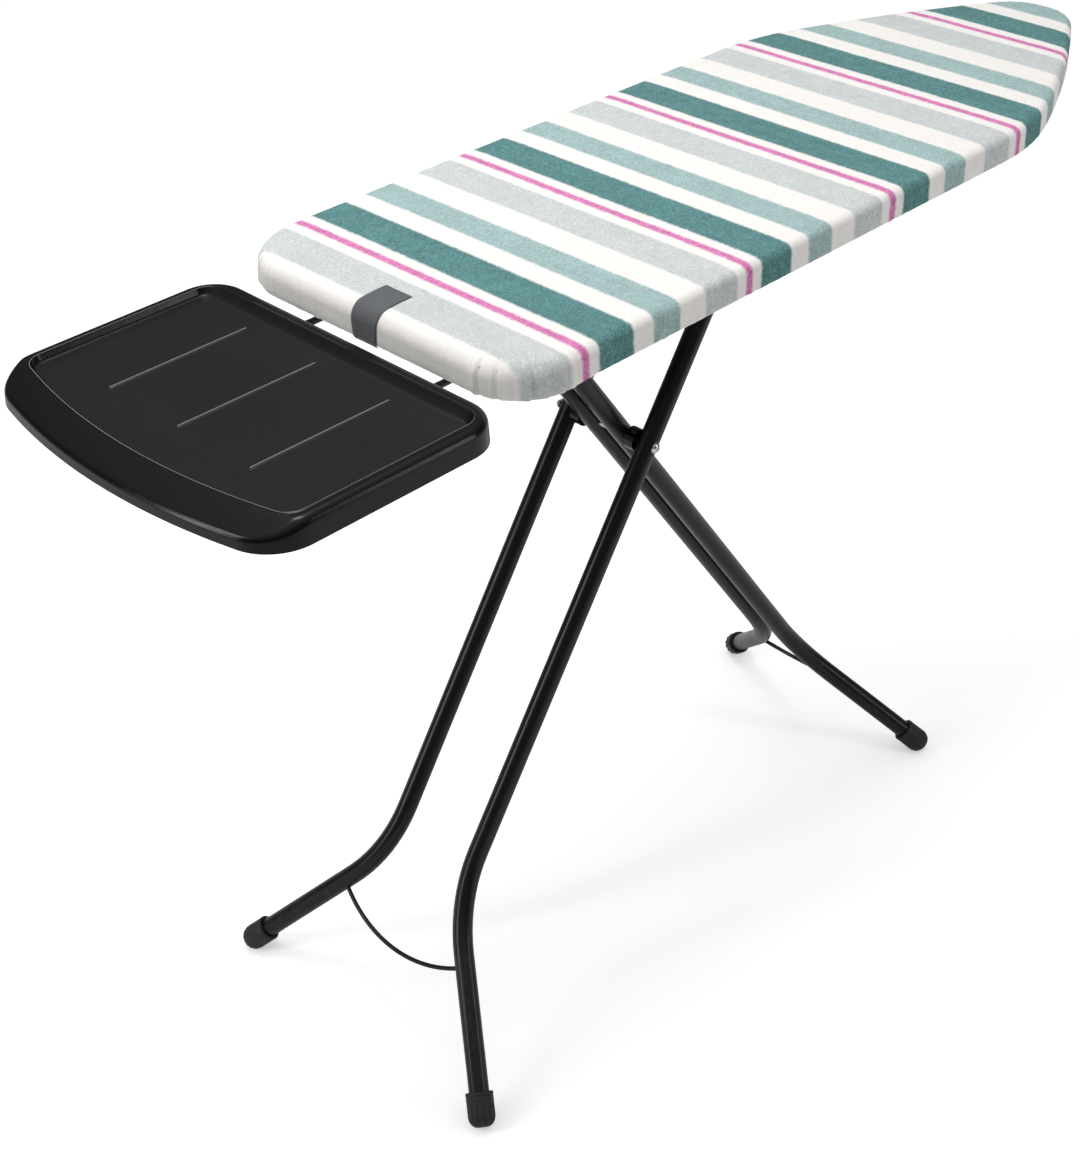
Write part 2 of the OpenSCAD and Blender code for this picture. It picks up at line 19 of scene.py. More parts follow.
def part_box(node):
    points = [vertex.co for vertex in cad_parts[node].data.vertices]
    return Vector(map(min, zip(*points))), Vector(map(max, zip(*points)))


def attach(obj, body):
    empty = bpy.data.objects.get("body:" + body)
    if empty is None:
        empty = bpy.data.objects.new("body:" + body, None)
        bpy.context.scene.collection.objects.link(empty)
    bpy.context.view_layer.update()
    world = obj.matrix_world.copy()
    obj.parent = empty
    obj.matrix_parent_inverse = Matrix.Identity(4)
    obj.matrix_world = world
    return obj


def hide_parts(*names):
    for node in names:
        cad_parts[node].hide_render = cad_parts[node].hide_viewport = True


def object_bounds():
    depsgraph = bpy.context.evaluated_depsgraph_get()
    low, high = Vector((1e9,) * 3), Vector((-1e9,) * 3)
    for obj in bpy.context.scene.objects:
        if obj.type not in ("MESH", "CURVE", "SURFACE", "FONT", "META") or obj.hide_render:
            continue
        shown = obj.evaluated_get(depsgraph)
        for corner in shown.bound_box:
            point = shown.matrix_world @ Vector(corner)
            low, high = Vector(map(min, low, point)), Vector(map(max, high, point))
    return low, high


bl_info = {
    "name": "Folding ironing board",
    "version": (1, 0, 0),
    "blender": (4, 5, 0),
    "location": "View3D > Sidebar > Ironing board",
    "description": "Builds the cloth, tray, feet and finishes of a folding ironing board",
    "category": "Object",
}

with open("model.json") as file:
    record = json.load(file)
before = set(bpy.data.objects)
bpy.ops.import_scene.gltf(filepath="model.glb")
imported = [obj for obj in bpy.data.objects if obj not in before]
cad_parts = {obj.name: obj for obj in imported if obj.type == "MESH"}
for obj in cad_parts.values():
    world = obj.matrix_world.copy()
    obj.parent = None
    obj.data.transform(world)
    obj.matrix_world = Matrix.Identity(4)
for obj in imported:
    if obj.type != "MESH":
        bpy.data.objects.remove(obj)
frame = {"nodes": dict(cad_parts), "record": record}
CAD_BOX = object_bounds()

# Places that the frame gives
COVER_LOW, COVER_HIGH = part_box("cover")
TRAY_LOW, TRAY_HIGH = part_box("rest_tray")
TAB_LOW, TAB_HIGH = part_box("label_tab")
PAD_LOW, PAD_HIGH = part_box("pad")
DECK_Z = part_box("deck_sheet")[0].z
SPACER_LOW, SPACER_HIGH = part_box("pivot_spacer_left")
SPRING_LOW, SPRING_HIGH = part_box("catch_spring")
HEEL_X = COVER_LOW.x
HALF_WIDTH = COVER_HIGH.y
TOP_Z = COVER_HIGH.z
HEM_Z = COVER_LOW.z
CROSSING = Vector(((SPACER_LOW.x + SPACER_HIGH.x) / 2, 0, (SPACER_LOW.z + SPACER_HIGH.z) / 2))


# ---- Settings ---------------------------------------------------------------


def size(name, default, description):
    """A length that the sidebar shows."""
    return FloatProperty(name=name, description=description, default=default, unit="LENGTH", precision=4)


def angle(name, default, description):
    """An angle, given in degrees, that the sidebar shows."""
    turn = math.radians(default)
    return FloatProperty(name=name, description=description, default=turn, unit="ROTATION", subtype="ANGLE")


def amount(name, default, description, unit="NONE"):
    """A plain amount that the sidebar shows."""
    return FloatProperty(name=name, description=description, default=default, min=0, unit=unit)


def linear(red, green, blue):
    """A colour on the screen's scale of 0 to 255, as the light that it stands for."""
    shares = (value / 255 for value in (red, green, blue))
    return tuple(v / 12.92 if v <= 0.04045 else ((v + 0.055) / 1.055) ** 2.4 for v in shares)


def paint(name, screen, description):
    """A colour that the sidebar shows."""
    return FloatVectorProperty(
        name=name, description=description, default=linear(*screen), size=3, subtype="COLOR", min=0, max=1
    )


class BoardShape(bpy.types.PropertyGroup):
    """Outline of the board, as arcs that meet smoothly."""

    heel_radius: size("Heel radius", 0.075, "Radius of the two corners at the heel")
    shoulder: size("Shoulder", 0.814, "Distance from the heel to where the sides begin to curve in")
    shoulder_radius: size("Shoulder radius", 0.329, "Radius of the shoulder curve")
    shoulder_turn: angle("Shoulder turn", 21.7, "Angle that the shoulder curve turns through")
    taper_radius: size("Taper radius", 1.61, "Radius of the long curve from the shoulder to the nose")
    nose_radius: size("Nose radius", 0.074, "Radius of the nose")


class CoverShape(bpy.types.PropertyGroup):
    """The cotton cover, its hem and its folds."""

    cloth: size("Cloth", 0.0011, "Thickness of the cotton")
    hem: size("Hem", 0.027, "Width of the hem that turns in under the board")
    side_roll: size("Side edge", 0.0095, "Radius of the padded top edge along the sides")
    heel_roll: size("Heel edge", 0.0145, "Radius of the padded top edge round the heel")
    side_foot: size("Side lower edge", 0.004, "Radius of the lower edge along the sides")
    heel_foot: size("Heel lower edge", 0.008, "Radius of the lower edge round the heel")
    shoulder: size("Soft band", 0.042, "Width of the band where the top falls away to the edge")
    sink: size("Sink", 0.0014, "Fall of the top across the soft band")
    heel_sink: size("Heel sink", 0.0034, "Fall of the top across the soft band at the heel")
    heel_drop: size("Heel drop", 0.006, "Distance that the hem hangs lower at the heel")
    waves: size("Waves", 0.0006, "Height of the slow waves in the top")
    gathers: size("Gathers", 0.0042, "Depth of the gathers at the heel's corners")
    step: size("Step", 0.0022, "Distance between the points of the mesh along the edge")
    cell: size("Cell", 0.0085, "Distance between the points of the mesh on the top")


class TrayShape(bpy.types.PropertyGroup):
    """The moulded iron rest."""

    gap: size("Gap", 0.018, "Distance from the heel to the tray's near edge")
    front_radius: size("Front radius", 0.81, "Radius of the tray's front edge")
    back_corner: size("Back corners", 0.045, "Radius of the corners near the board")
    front_corner: size("Front corners", 0.055, "Radius of the corners at the front")
    apron: size("Apron", 0.035, "Width of the sloping apron at the front")
    apron_fall: size("Apron fall", 0.0155, "Height that the apron falls through")
    recess_gap: size("Recess gap", 0.036, "Distance from the heel to the recess")
    recess_half: size("Recess half width", 0.212, "Half of the recess's width")
    recess_corner: size("Recess corners", 0.022, "Radius of the recess's corners")
    recess_depth: size("Recess depth", 0.007, "Depth of the recess that the iron stands in")
    recess_slope: size("Recess slope", 0.0055, "Width of the recess's wall at its sides and front")
    back_slope: size("Back slope", 0.0165, "Width of the recess's wall near the board")
    bead: size("Bead", 0.0006, "Height of the fine bead along the recess's edge")
    wall: size("Wall", 0.0025, "Thickness of the moulding")
    edge_roll: size("Edge roll", 0.0095, "Radius of the tray's outer edge")
    front_roll: size("Front roll", 0.0045, "Radius of the tray's outer edge at the front")
    rib_length: size("Rib length", 0.17, "Length of each rib in the recess")
    rib_height: size("Rib height", 0.0014, "Height of each rib")
    rib_spacing: size("Rib spacing", 0.112, "Distance between the ribs")


class OuterLegShape(bpy.types.PropertyGroup):
    """The outer pair of legs, measured from the crossing down to its feet."""

    lean: angle("Lean", 55.94, "Angle between the legs and the floor, in side view")
    spacing: size("Half spacing", 0.0641, "Distance of each leg from the middle")
    reach: size("Reach", 0.6086, "Length from the crossing to the bend")
    splay: angle("Splay", 36.6, "Angle that the legs splay at their bend")
    lower: size("Lower length", 0.27019, "Length from the bend to the foot's end")


class InnerLegShape(bpy.types.PropertyGroup):
    """The inner pair of legs, measured in the same way."""

    lean: angle("Lean", 54.69, "Angle between the legs and the floor, in side view")
    spacing: size("Half spacing", 0.0242, "Distance of each leg from the middle")
    reach: size("Reach", 0.6378, "Length from the crossing to the bend")
    splay: angle("Splay", 38.35, "Angle that the legs splay at their bend")
    lower: size("Lower length", 0.25538, "Length from the bend to the foot's end")


class FootShape(bpy.types.PropertyGroup):
    """The fluted rubber feet."""

    radius: size("Radius", 0.017, "Outside radius")
    length: size("Length", 0.04, "Length along the leg")
    bore: size("Bore", 0.0125, "Radius of the socket that the tube sits in")
    floor: size("Floor", 0.008, "Thickness of the foot under the tube")
    flute: size("Flute", 0.0012, "Depth of the flutes")
    flutes: IntProperty(
        name="Flutes", description="Number of flutes round each foot", default=14, min=6, max=24
    )


class Palette(bpy.types.PropertyGroup):
    """Colours of the finishes."""

    powder: paint("Powder coat", (13, 13, 14), "Black powder coat on the tubes and the frame")
    plastic: paint("Tray plastic", (14, 14, 15), "Moulded plastic of the iron rest")
    rubber: paint("Foot rubber", (20, 20, 21), "Rubber of the feet")
    zinc: paint("Zinc", (186, 188, 190), "Zinc-plated steel")
    bright: paint("Bright steel", (214, 215, 217), "Polished fasteners")
    nylon: paint("Nylon", (226, 223, 214), "Natural nylon of the glides and saddles")
    felt: paint("Felt", (214, 211, 204), "Felt of the pad")
    thread: paint("Thread", (236, 233, 228), "Sewing thread")
    tab: paint("Tab", (84, 87, 90), "Woven label tab")
    cream: paint("Cream", (245, 242, 238), "Ground of the printed cotton")
    pale_grey: paint("Pale grey stripe", (205, 210, 210), "Wide pale stripe of the print")
    pink: paint("Pink stripe", (220, 130, 185), "Narrow stripe of the print")
    teal: paint("Teal stripe", (95, 140, 140), "Wide dark stripe of the print")
    sage: paint("Sage stripe", (165, 190, 190), "Middle stripe of the print")
    floor: paint("Floor", (250, 250, 250), "Plain studio floor")


class StageSettings(bpy.types.PropertyGroup):
    """Camera and light."""

    camera_place: FloatVectorProperty(
        name="Camera",
        description="Place of the camera",
        default=(-1.598, -1.423, 1.908),
        subtype="TRANSLATION",
    )
    azimuth: angle("Azimuth", -44.21, "Direction that the camera looks in, from +Y")
    dip: angle("Dip", 34.64, "Angle that the camera looks down at")
    roll: angle("Roll", -1.58, "Turn of the camera about its own axis")
    lens: amount("Lens", 62.16, "Focal length", "CAMERA")
    key_power: amount("Key", 27.0, "Power of the overhead light", "POWER")
    strip_power: amount("Strip", 26.0, "Power of the side lights", "POWER")
    sky: amount("Sky", 1.25, "Strength of the light from straight above")
    horizon: amount("Horizon", 0.1, "Strength of the light from the side")


class IroningBoardSettings(bpy.types.PropertyGroup):
    """All the settings of the ironing board."""

    board: PointerProperty(type=BoardShape)
    cover: PointerProperty(type=CoverShape)
    tray: PointerProperty(type=TrayShape)
    outer_legs: PointerProperty(type=OuterLegShape)
    inner_legs: PointerProperty(type=InnerLegShape)
    foot: PointerProperty(type=FootShape)
    palette: PointerProperty(type=Palette)
    stage: PointerProperty(type=StageSettings)


def settings():
    """The settings of this scene."""
    return bpy.context.scene.ironing_board


# ---- Plan outlines ----------------------------------------------------------


def arc(centre, radius, start, end, step=None, count=None):
    """Points and outward normals along an arc, without its last point. Angles are in radians."""
    count = count or max(2, round(abs(end - start) * radius / step))
    turns = start + (end - start) * np.arange(count) / count
    out = np.column_stack((np.cos(turns), np.sin(turns)))
    return np.array(centre) + radius * out, out


def line(start, end, normal, step=None, count=None):
    """Points and outward normals along a line, without its last point."""
    start, end = np.array(start), np.array(end)
    count = count or max(2, round(float(np.linalg.norm(end - start)) / step))
    shares = np.arange(count)[:, None] / count
    return start + (end - start) * shares, np.tile(np.array(normal, float), (count, 1))


def closed(runs, tip, tip_normal):
    """The left half's runs, its last point, and their mirror image, as one loop of points and normals."""
    points = np.vstack([run[0] for run in runs] + [np.array([tip])])
    normals = np.vstack([run[1] for run in runs] + [np.array([tip_normal])])
    mirror = np.array([1.0, -1.0])
    return (
        np.vstack((points, points[-2:0:-1] * mirror)),
        np.vstack((normals, normals[-2:0:-1] * mirror)),
    )


def board_edge(step):
    """The board's outline at the cover's outer face, from the middle of the heel."""
    board = settings().board
    heel, right = board.heel_radius, math.pi / 2
    shoulder = np.array([HEEL_X + board.shoulder, HALF_WIDTH - board.shoulder_radius])
    turned = right - board.shoulder_turn
    aim = np.array([math.cos(turned), math.sin(turned)])
    taper = shoulder - (board.taper_radius - board.shoulder_radius) * aim
    arm = board.taper_radius - board.nose_radius
    last = math.asin(-taper[1] / arm)
    nose = (taper[0] + arm * math.cos(last), 0.0)
    runs = [
        line((HEEL_X, 0), (HEEL_X, HALF_WIDTH - heel), (-1, 0), step),
        arc((HEEL_X + heel, HALF_WIDTH - heel), heel, math.pi, right, step),
        line((HEEL_X + heel, HALF_WIDTH), (shoulder[0], HALF_WIDTH), (0, 1), step),
        arc(shoulder, board.shoulder_radius, right, turned, step),
        arc(taper, board.taper_radius, turned, last, step),
        arc(nose, board.nose_radius, last, 0, step),
    ]
    return closed(runs, (nose[0] + board.nose_radius, 0), (1, 0))


def tray_edge(gap, half, front, back_corner, front_corner):
    """An outline of the tray, or of its recess, from the middle of the edge nearest the board.

    Every outline has the same number of points in each of its runs, so that rings between two outlines stay
    square.
    """
    tray = settings().tray
    right = math.pi / 2
    front_x = TRAY_LOW.x + tray.front_radius
    corner_y = half - front_corner
    corner_x = front_x - math.sqrt((front - front_corner) ** 2 - corner_y**2)
    turned = math.atan2(corner_y, corner_x - front_x)
    near_x = HEEL_X - gap
    runs = [
        line((near_x, 0), (near_x, half - back_corner), (1, 0), count=36),
        arc((near_x - back_corner, half - back_corner), back_corner, 0, right, count=18),
        line((near_x - back_corner, half), (corner_x, half), (0, 1), count=44),
        arc((corner_x, corner_y), front_corner, right, turned, count=18),
        arc((front_x, 0), front, turned, math.pi, count=44),
    ]
    return closed(runs, (front_x - front, 0), (-1, 0))


def clockwise(points):
    """True if a loop runs clockwise, seen from above."""
    following = np.roll(points, -1, axis=0)
    return float((points[:, 0] * following[:, 1] - following[:, 0] * points[:, 1]).sum()) < 0


def inset_of(points, edge, normals):
    """How far each point lies inside an outline, and the index of the outline's nearest point."""
    gaps = ((points[:, None, :] - edge[None, :, :]) ** 2).sum(axis=2)
    nearest = gaps.argmin(axis=1)
    return ((edge[nearest] - points) * normals[nearest]).sum(axis=1), nearest


def smooth(low, high, value):
    """0 below low, 1 above high, with a soft rise between."""
    share = np.clip((np.asarray(value, float) - low) / (high - low), 0, 1)
    return share * share * (3 - 2 * share)


# ---- Meshes -----------------------------------------------------------------


def new_object(name, points, faces, material, smooth_shaded=True):
    """A mesh object with one material."""
    mesh = bpy.data.meshes.new(name)
    mesh.from_pydata([tuple(map(float, p)) for p in points], [], faces)
    mesh.validate()
    if smooth_shaded:
        mesh.shade_smooth()
    mesh.materials.append(material)
    made = bpy.data.objects.new(name, mesh)
    bpy.context.scene.collection.objects.link(made)
    return made


def belongs(piece, body, slot, *replaced):
    """Ties a piece to its body and hides the CAD nodes that it stands for. The slot is not used."""
    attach(piece, body)
    if replaced:
        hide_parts(*replaced)


def strips(rings, count, turned):
    """Quads between rings of equal counts, each given by its first index. turned is for clockwise loops."""
    faces = []
    for low, high in zip(rings, rings[1:]):
        for i in range(count):
            j = (i + 1) % count
            quad = (low + i, high + i, high + j, low + j)
            faces.append(quad if turned else quad[::-1])
    return faces


def filled(edge, first, inner, base, loops=()):
    """Triangles, facing up, inside a loop and through its inner points.

    The loop's indices start at first, and those of the inner points at base.
    """
    points = [Vector(p) for p in edge] + [Vector(p) for p in inner]
    count = len(edge)
    borders = [(i, (i + 1) % count) for i in range(count)]
    for start, length in loops:
        borders += [(count + start + i, count + start + (i + 1) % length) for i in range(length)]
    out = delaunay_2d_cdt(points, borders, [], 1, 1e-7)
    names = [first + group[0] if group[0] < count else base + group[0] - count for group in out[3]]
    faces = []
    for face in out[2]:
        a, b, c = (out[0][i] for i in face)
        up = (b - a).cross(c - a) > 0
        faces.append(tuple(names[i] for i in (face if up else face[::-1])))
    return faces


def grid_inside(edge, normals, cell, margin):
    """Points on a staggered grid, those further inside an outline than a margin."""
    low, high = edge.min(axis=0), edge.max(axis=0)
    rows = np.arange(low[1], high[1], cell * 0.866)
    columns = np.arange(low[0], high[0], cell)
    grid = np.array([(x + cell / 2 * (k % 2), y) for k, y in enumerate(rows) for x in columns])
    return grid[inset_of(grid, edge, normals)[0] > margin]


def thickened(piece, thickness, offset=-1.0):
    """Gives a single skin its thickness."""
    solid = piece.modifiers.new("Thickness", "SOLIDIFY")
    solid.thickness = thickness
    solid.offset = offset


def turned_body(profile, around, shape=None):
    """Points and faces of a closed turned body. profile holds (radius, height) and ends on the axis."""
    rows = profile[1:-1]
    turns = np.linspace(0, math.tau, around, endpoint=False)
    points = [Vector((0, 0, profile[0][1]))]
    for radius, height in rows:
        for turn in turns:
            r = shape(radius, height, turn) if shape else radius
            points.append(Vector((r * math.cos(turn), r * math.sin(turn), height)))
    points.append(Vector((0, 0, profile[-1][1])))
    faces = [(0, 1 + (i + 1) % around, 1 + i) for i in range(around)]
    faces += strips([1 + k * around for k in range(len(rows))], around, True)
    last = 1 + (len(rows) - 1) * around
    faces += [(last + i, last + (i + 1) % around, len(points) - 1) for i in range(around)]
    faces[around:-around] = [face[::-1] for face in faces[around:-around]]
    return points, faces


def swept(path, radius, sides):
    """Points and faces of a closed round bar along a path."""
    points, faces = [], []
    side = None
    for k, place in enumerate(path):
        ahead = (path[min(k + 1, len(path) - 1)] - path[max(k - 1, 0)]).normalized()
        if side is None:
            side = ahead.orthogonal().normalized()
        side = (side - ahead * side.dot(ahead)).normalized()
        other = ahead.cross(side)
        for i in range(sides):
            turn = math.tau * i / sides
            points.append(place + (side * math.cos(turn) + other * math.sin(turn)) * radius)
    for k in range(len(path) - 1):
        for i in range(sides):
            j = (i + 1) % sides
            a, b = k * sides, (k + 1) * sides
            faces.append((a + i, a + j, b + j, b + i))
    last = (len(path) - 1) * sides
    faces.append(tuple(range(sides))[::-1])
    faces.append(tuple(range(last, last + sides)))
    return points, faces


def joined(parts):
    """Several lists of points and faces as one."""
    points, faces = [], []
    for part_points, part_faces in parts:
        base = len(points)
        points += list(part_points)
        faces += [tuple(base + i for i in face) for face in part_faces]
    return points, faces


# ---- Shader node groups -----------------------------------------------------


class Nodes:
    """Shorthand for building a node tree."""

    def __init__(self, tree):
        self.tree = tree

    def add(self, kind, **facts):
        """Adds a node and sets its properties."""
        node = self.tree.nodes.new(kind)
        for name, value in facts.items():
            setattr(node, name, value)
        return node

    def feed(self, socket, value):
        """Links an output to a socket, or sets the socket's own value."""
        if isinstance(value, bpy.types.NodeSocket):
            self.tree.links.new(value, socket)
        elif value is not None:
            socket.default_value = value

    def math(self, operation, first, second=None, third=None, clamp=False):
        """One sum, with numbers or outputs."""
        node = self.add("ShaderNodeMath", operation=operation, use_clamp=clamp)
        for socket, value in zip(node.inputs, (first, second, third)):
            self.feed(socket, value)
        return node.outputs[0]

    def between(self, value, low, high, new_low=0.0, new_high=1.0, kind="SMOOTHSTEP"):
        """A value mapped from one range to another."""
        node = self.add("ShaderNodeMapRange", interpolation_type=kind)
        for socket, given in zip(node.inputs, (value, low, high, new_low, new_high)):
            self.feed(socket, given)
        return node.outputs[0]

    def mix(self, share, first, second, blend="MIX"):
        """Two colours mixed."""
        node = self.add("ShaderNodeMix", data_type="RGBA", blend_type=blend)
        self.feed(node.inputs[0], share)
        self.feed(node.inputs[6], rgba(first))
        self.feed(node.inputs[7], rgba(second))
        return node.outputs[2]

    def noise(self, vector, scale, detail=3.0, roughness=0.5, distortion=0.0):
        """Noise from 0 to 1."""
        node = self.add("ShaderNodeTexNoise")
        for name, value in (
            ("Vector", vector),
            ("Scale", scale),
            ("Detail", detail),
            ("Roughness", roughness),
            ("Distortion", distortion),
        ):
            self.feed(node.inputs[name], value)
        return node.outputs[0]

    def stretched(self, vector, x, y, z):
        """A vector scaled along each axis."""
        node = self.add("ShaderNodeMapping")
        self.feed(node.inputs["Vector"], vector)
        node.inputs["Scale"].default_value = (x, y, z)
        return node.outputs[0]

    def split(self, value, kind="ShaderNodeSeparateXYZ"):
        """The three parts of a vector, or of a colour."""
        node = self.add(kind)
        self.feed(node.inputs[0], value)
        return node.outputs

    def grey(self, value):
        """A value as a grey colour."""
        node = self.add("ShaderNodeCombineColor")
        for socket in node.inputs[:3]:
            self.feed(socket, value)
        return node.outputs[0]

    def marked(self, name):
        """A value that the mesh holds for each of its points."""
        return self.add("ShaderNodeAttribute", attribute_name=name).outputs["Fac"]

    def place(self):
        """The place on the object, in metres."""
        return self.add("ShaderNodeTexCoord").outputs["Object"]

    def group(self, tree, **facts):
        """Places a node group. Names with spaces are given with underscores."""
        node = self.add("ShaderNodeGroup", node_tree=tree)
        for name, value in facts.items():
            self.feed(node.inputs[name.replace("_", " ")], value)
        return node


def scaled(colour, share):
    """A colour made darker or lighter."""
    return [value * share for value in colour]


def rgba(colour):
    """A colour with its alpha, or an output as it is."""
    if isinstance(colour, bpy.types.NodeSocket) or colour is None:
        return colour
    return (*colour[:3], 1.0)


def new_group(name, inputs, outputs):
    """An empty node group with named sockets. Returns its helper, its input node and its output node."""
    tree = bpy.data.node_groups.new(name, "ShaderNodeTree")
    kinds = {"value": "NodeSocketFloat", "colour": "NodeSocketColor", "vector": "NodeSocketVector"}
    for label, kind in inputs:
        tree.interface.new_socket(name=label, in_out="INPUT", socket_type=kinds[kind])
    for label, kind in outputs:
        tree.interface.new_socket(name=label, in_out="OUTPUT", socket_type=kinds[kind])
    nodes = Nodes(tree)
    return nodes, nodes.add("NodeGroupInput").outputs, nodes.add("NodeGroupOutput").inputs


def grain_group():
    """Fine grain: a height and a tone for orange peel, moulded plastic, rubber and felt."""
    nodes, given, out = new_group(
        "Fine grain",
        [("Place", "vector"), ("Grains per metre", "value"), ("Coarse share", "value")],
        [("Height", "value"), ("Tone", "value")],
    )
    fine = nodes.noise(given["Place"], given["Grains per metre"], detail=2.0, roughness=0.55)
    wide = nodes.noise(given["Place"], nodes.math("MULTIPLY", given["Grains per metre"], 0.12), detail=3.0)
    share = given["Coarse share"]
    rest = nodes.math("SUBTRACT", 1.0, share)
    height = nodes.math("ADD", nodes.math("MULTIPLY", fine, rest), nodes.math("MULTIPLY", wide, share))
    nodes.feed(out["Height"], height)
    nodes.feed(out["Tone"], wide)
    return nodes.tree


def handling_group():
    """Traces of handling: soft smudges and thin scuffs that change the gloss."""
    nodes, given, out = new_group(
        "Handling",
        [("Place", "vector"), ("Smudges", "value"), ("Scuffs", "value")],
        [("Gloss loss", "value")],
    )
    cloudy = nodes.between(nodes.noise(given["Place"], 14.0, detail=4.0, roughness=0.6), 0.42, 0.75)
    long_place = nodes.stretched(given["Place"], 18.0, 260.0, 260.0)
    scuff = nodes.between(nodes.noise(long_place, 1.0, detail=2.0), 0.66, 0.78)
    smudged = nodes.math("MULTIPLY", cloudy, given["Smudges"])
    total = nodes.math("MULTIPLY_ADD", scuff, given["Scuffs"], smudged)
    nodes.feed(out["Gloss loss"], total)
    return nodes.tree


def wear_group():
    """Edge wear: where sharp outer edges have worn."""
    nodes, given, out = new_group(
        "Edge wear",
        [("Place", "vector"), ("Amount", "value")],
        [("Worn", "value")],
    )
    sharp = nodes.add("ShaderNodeNewGeometry").outputs["Pointiness"]
    edge = nodes.between(sharp, 0.58, 0.68)
    patchy = nodes.between(nodes.noise(given["Place"], 90.0, detail=4.0), 0.45, 0.7)
    worn = nodes.math("MULTIPLY", nodes.math("MULTIPLY", edge, patchy), given["Amount"])
    nodes.feed(out["Worn"], worn)
    return nodes.tree


def weave_group():
    """Plain weave: threads that pass over and under each other, with slubs."""
    nodes, given, out = new_group(
        "Plain weave",
        [("Place", "vector"), ("Threads per metre", "value")],
        [("Height", "value"), ("Shade", "value")],
    )
    split = nodes.split(given["Place"])
    drift = nodes.math("MULTIPLY", nodes.noise(given["Place"], 60.0, detail=2.0), 0.0016)
    turn = nodes.math("MULTIPLY", given["Threads per metre"], math.pi)

    def thread(along, across):
        place = nodes.math("MULTIPLY", nodes.math("ADD", along, drift), turn)
        other = nodes.math("MULTIPLY", nodes.math("ADD", across, drift), turn)
        body = nodes.math("ABSOLUTE", nodes.math("SINE", place))
        row = nodes.math("FLOOR", nodes.math("DIVIDE", place, math.pi))
        over = nodes.math("SINE", nodes.math("MULTIPLY_ADD", row, math.pi, other))
        return nodes.math("MULTIPLY", body, nodes.math("MULTIPLY_ADD", over, 0.35, 0.65))

    depth = nodes.math("ADD", split["Y"], split["Z"])
    warp = thread(split["X"], depth)
    weft = thread(depth, split["X"])
    slub = nodes.noise(nodes.stretched(given["Place"], 60.0, 900.0, 900.0), 1.0, detail=2.0)
    height = nodes.math("ADD", nodes.math("MAXIMUM", warp, weft), nodes.math("MULTIPLY", slub, 0.8))
    nodes.feed(out["Height"], height)
    nodes.feed(out["Shade"], nodes.between(height, 0.55, 1.5, kind="LINEAR"))
    return nodes.tree


def stripe_group():
    """One printed stripe across the cloth, laid over the paint below it. Places are in millimetres."""
    nodes, given, out = new_group(
        "Printed stripe",
        [
            ("Below", "colour"),
            ("Along", "value"),
            ("Brush", "value"),
            ("Start", "value"),
            ("End", "value"),
            ("Colour", "colour"),
        ],
        [("Colour", "colour")],
    )
    half_blur = 2.5
    shaken = nodes.math("ADD", given["Along"], given["Brush"])

    def edge(place):
        low = nodes.math("SUBTRACT", place, half_blur)
        return nodes.between(shaken, low, nodes.math("ADD", place, half_blur))

    inside = nodes.math("SUBTRACT", edge(given["Start"]), edge(given["End"]), clamp=True)
    nodes.feed(out["Colour"], nodes.mix(inside, given["Below"], given["Colour"]))
    return nodes.tree


GROUPS = {}


def group(name):
    """A node group, built the first time that it is asked for."""
    builders = {
        "grain": grain_group,
        "handling": handling_group,
        "wear": wear_group,
        "weave": weave_group,
        "stripe": stripe_group,
    }
    if name not in GROUPS:
        GROUPS[name] = builders[name]()
    return GROUPS[name]


# ---- Materials --------------------------------------------------------------


def new_material(name):
    """A material with its helper and its principled shader."""
    material = bpy.data.materials.new(name)
    material.use_nodes = True
    nodes = Nodes(material.node_tree)
    return material, nodes, material.node_tree.nodes["Principled BSDF"]


def bumped(nodes, shader, height, distance):
    """Feeds a height into the shader's normal."""
    bump = nodes.add("ShaderNodeBump")
    bump.inputs["Distance"].default_value = distance
    bump.inputs["Strength"].default_value = 1.0
    nodes.feed(bump.inputs["Height"], height)
    nodes.feed(shader.inputs["Normal"], bump.outputs[0])


def powder_coat():
    """Satin black powder coat with a fine orange peel, worn at its sharp edges."""
    material, nodes, shader = new_material("powder_coat")
    palette = settings().palette
    place = nodes.place()
    grain = nodes.group(group("grain"), Place=place, Grains_per_metre=1100.0, Coarse_share=0.3)
    handling = nodes.group(group("handling"), Place=place, Smudges=0.07, Scuffs=0.05)
    worn = nodes.group(group("wear"), Place=place, Amount=0.12).outputs[0]
    tone = nodes.between(grain.outputs["Tone"], 0.3, 0.7, 0.0, 0.2)
    base = nodes.mix(tone, palette.powder, scaled(palette.powder, 1.9))
    nodes.feed(shader.inputs["Base Color"], nodes.mix(worn, base, linear(92, 93, 95)))
    nodes.feed(shader.inputs["Roughness"], nodes.math("ADD", handling.outputs[0], 0.28))
    shader.inputs["Specular IOR Level"].default_value = 0.3
    bumped(nodes, shader, grain.outputs["Height"], 0.00006)
    return material


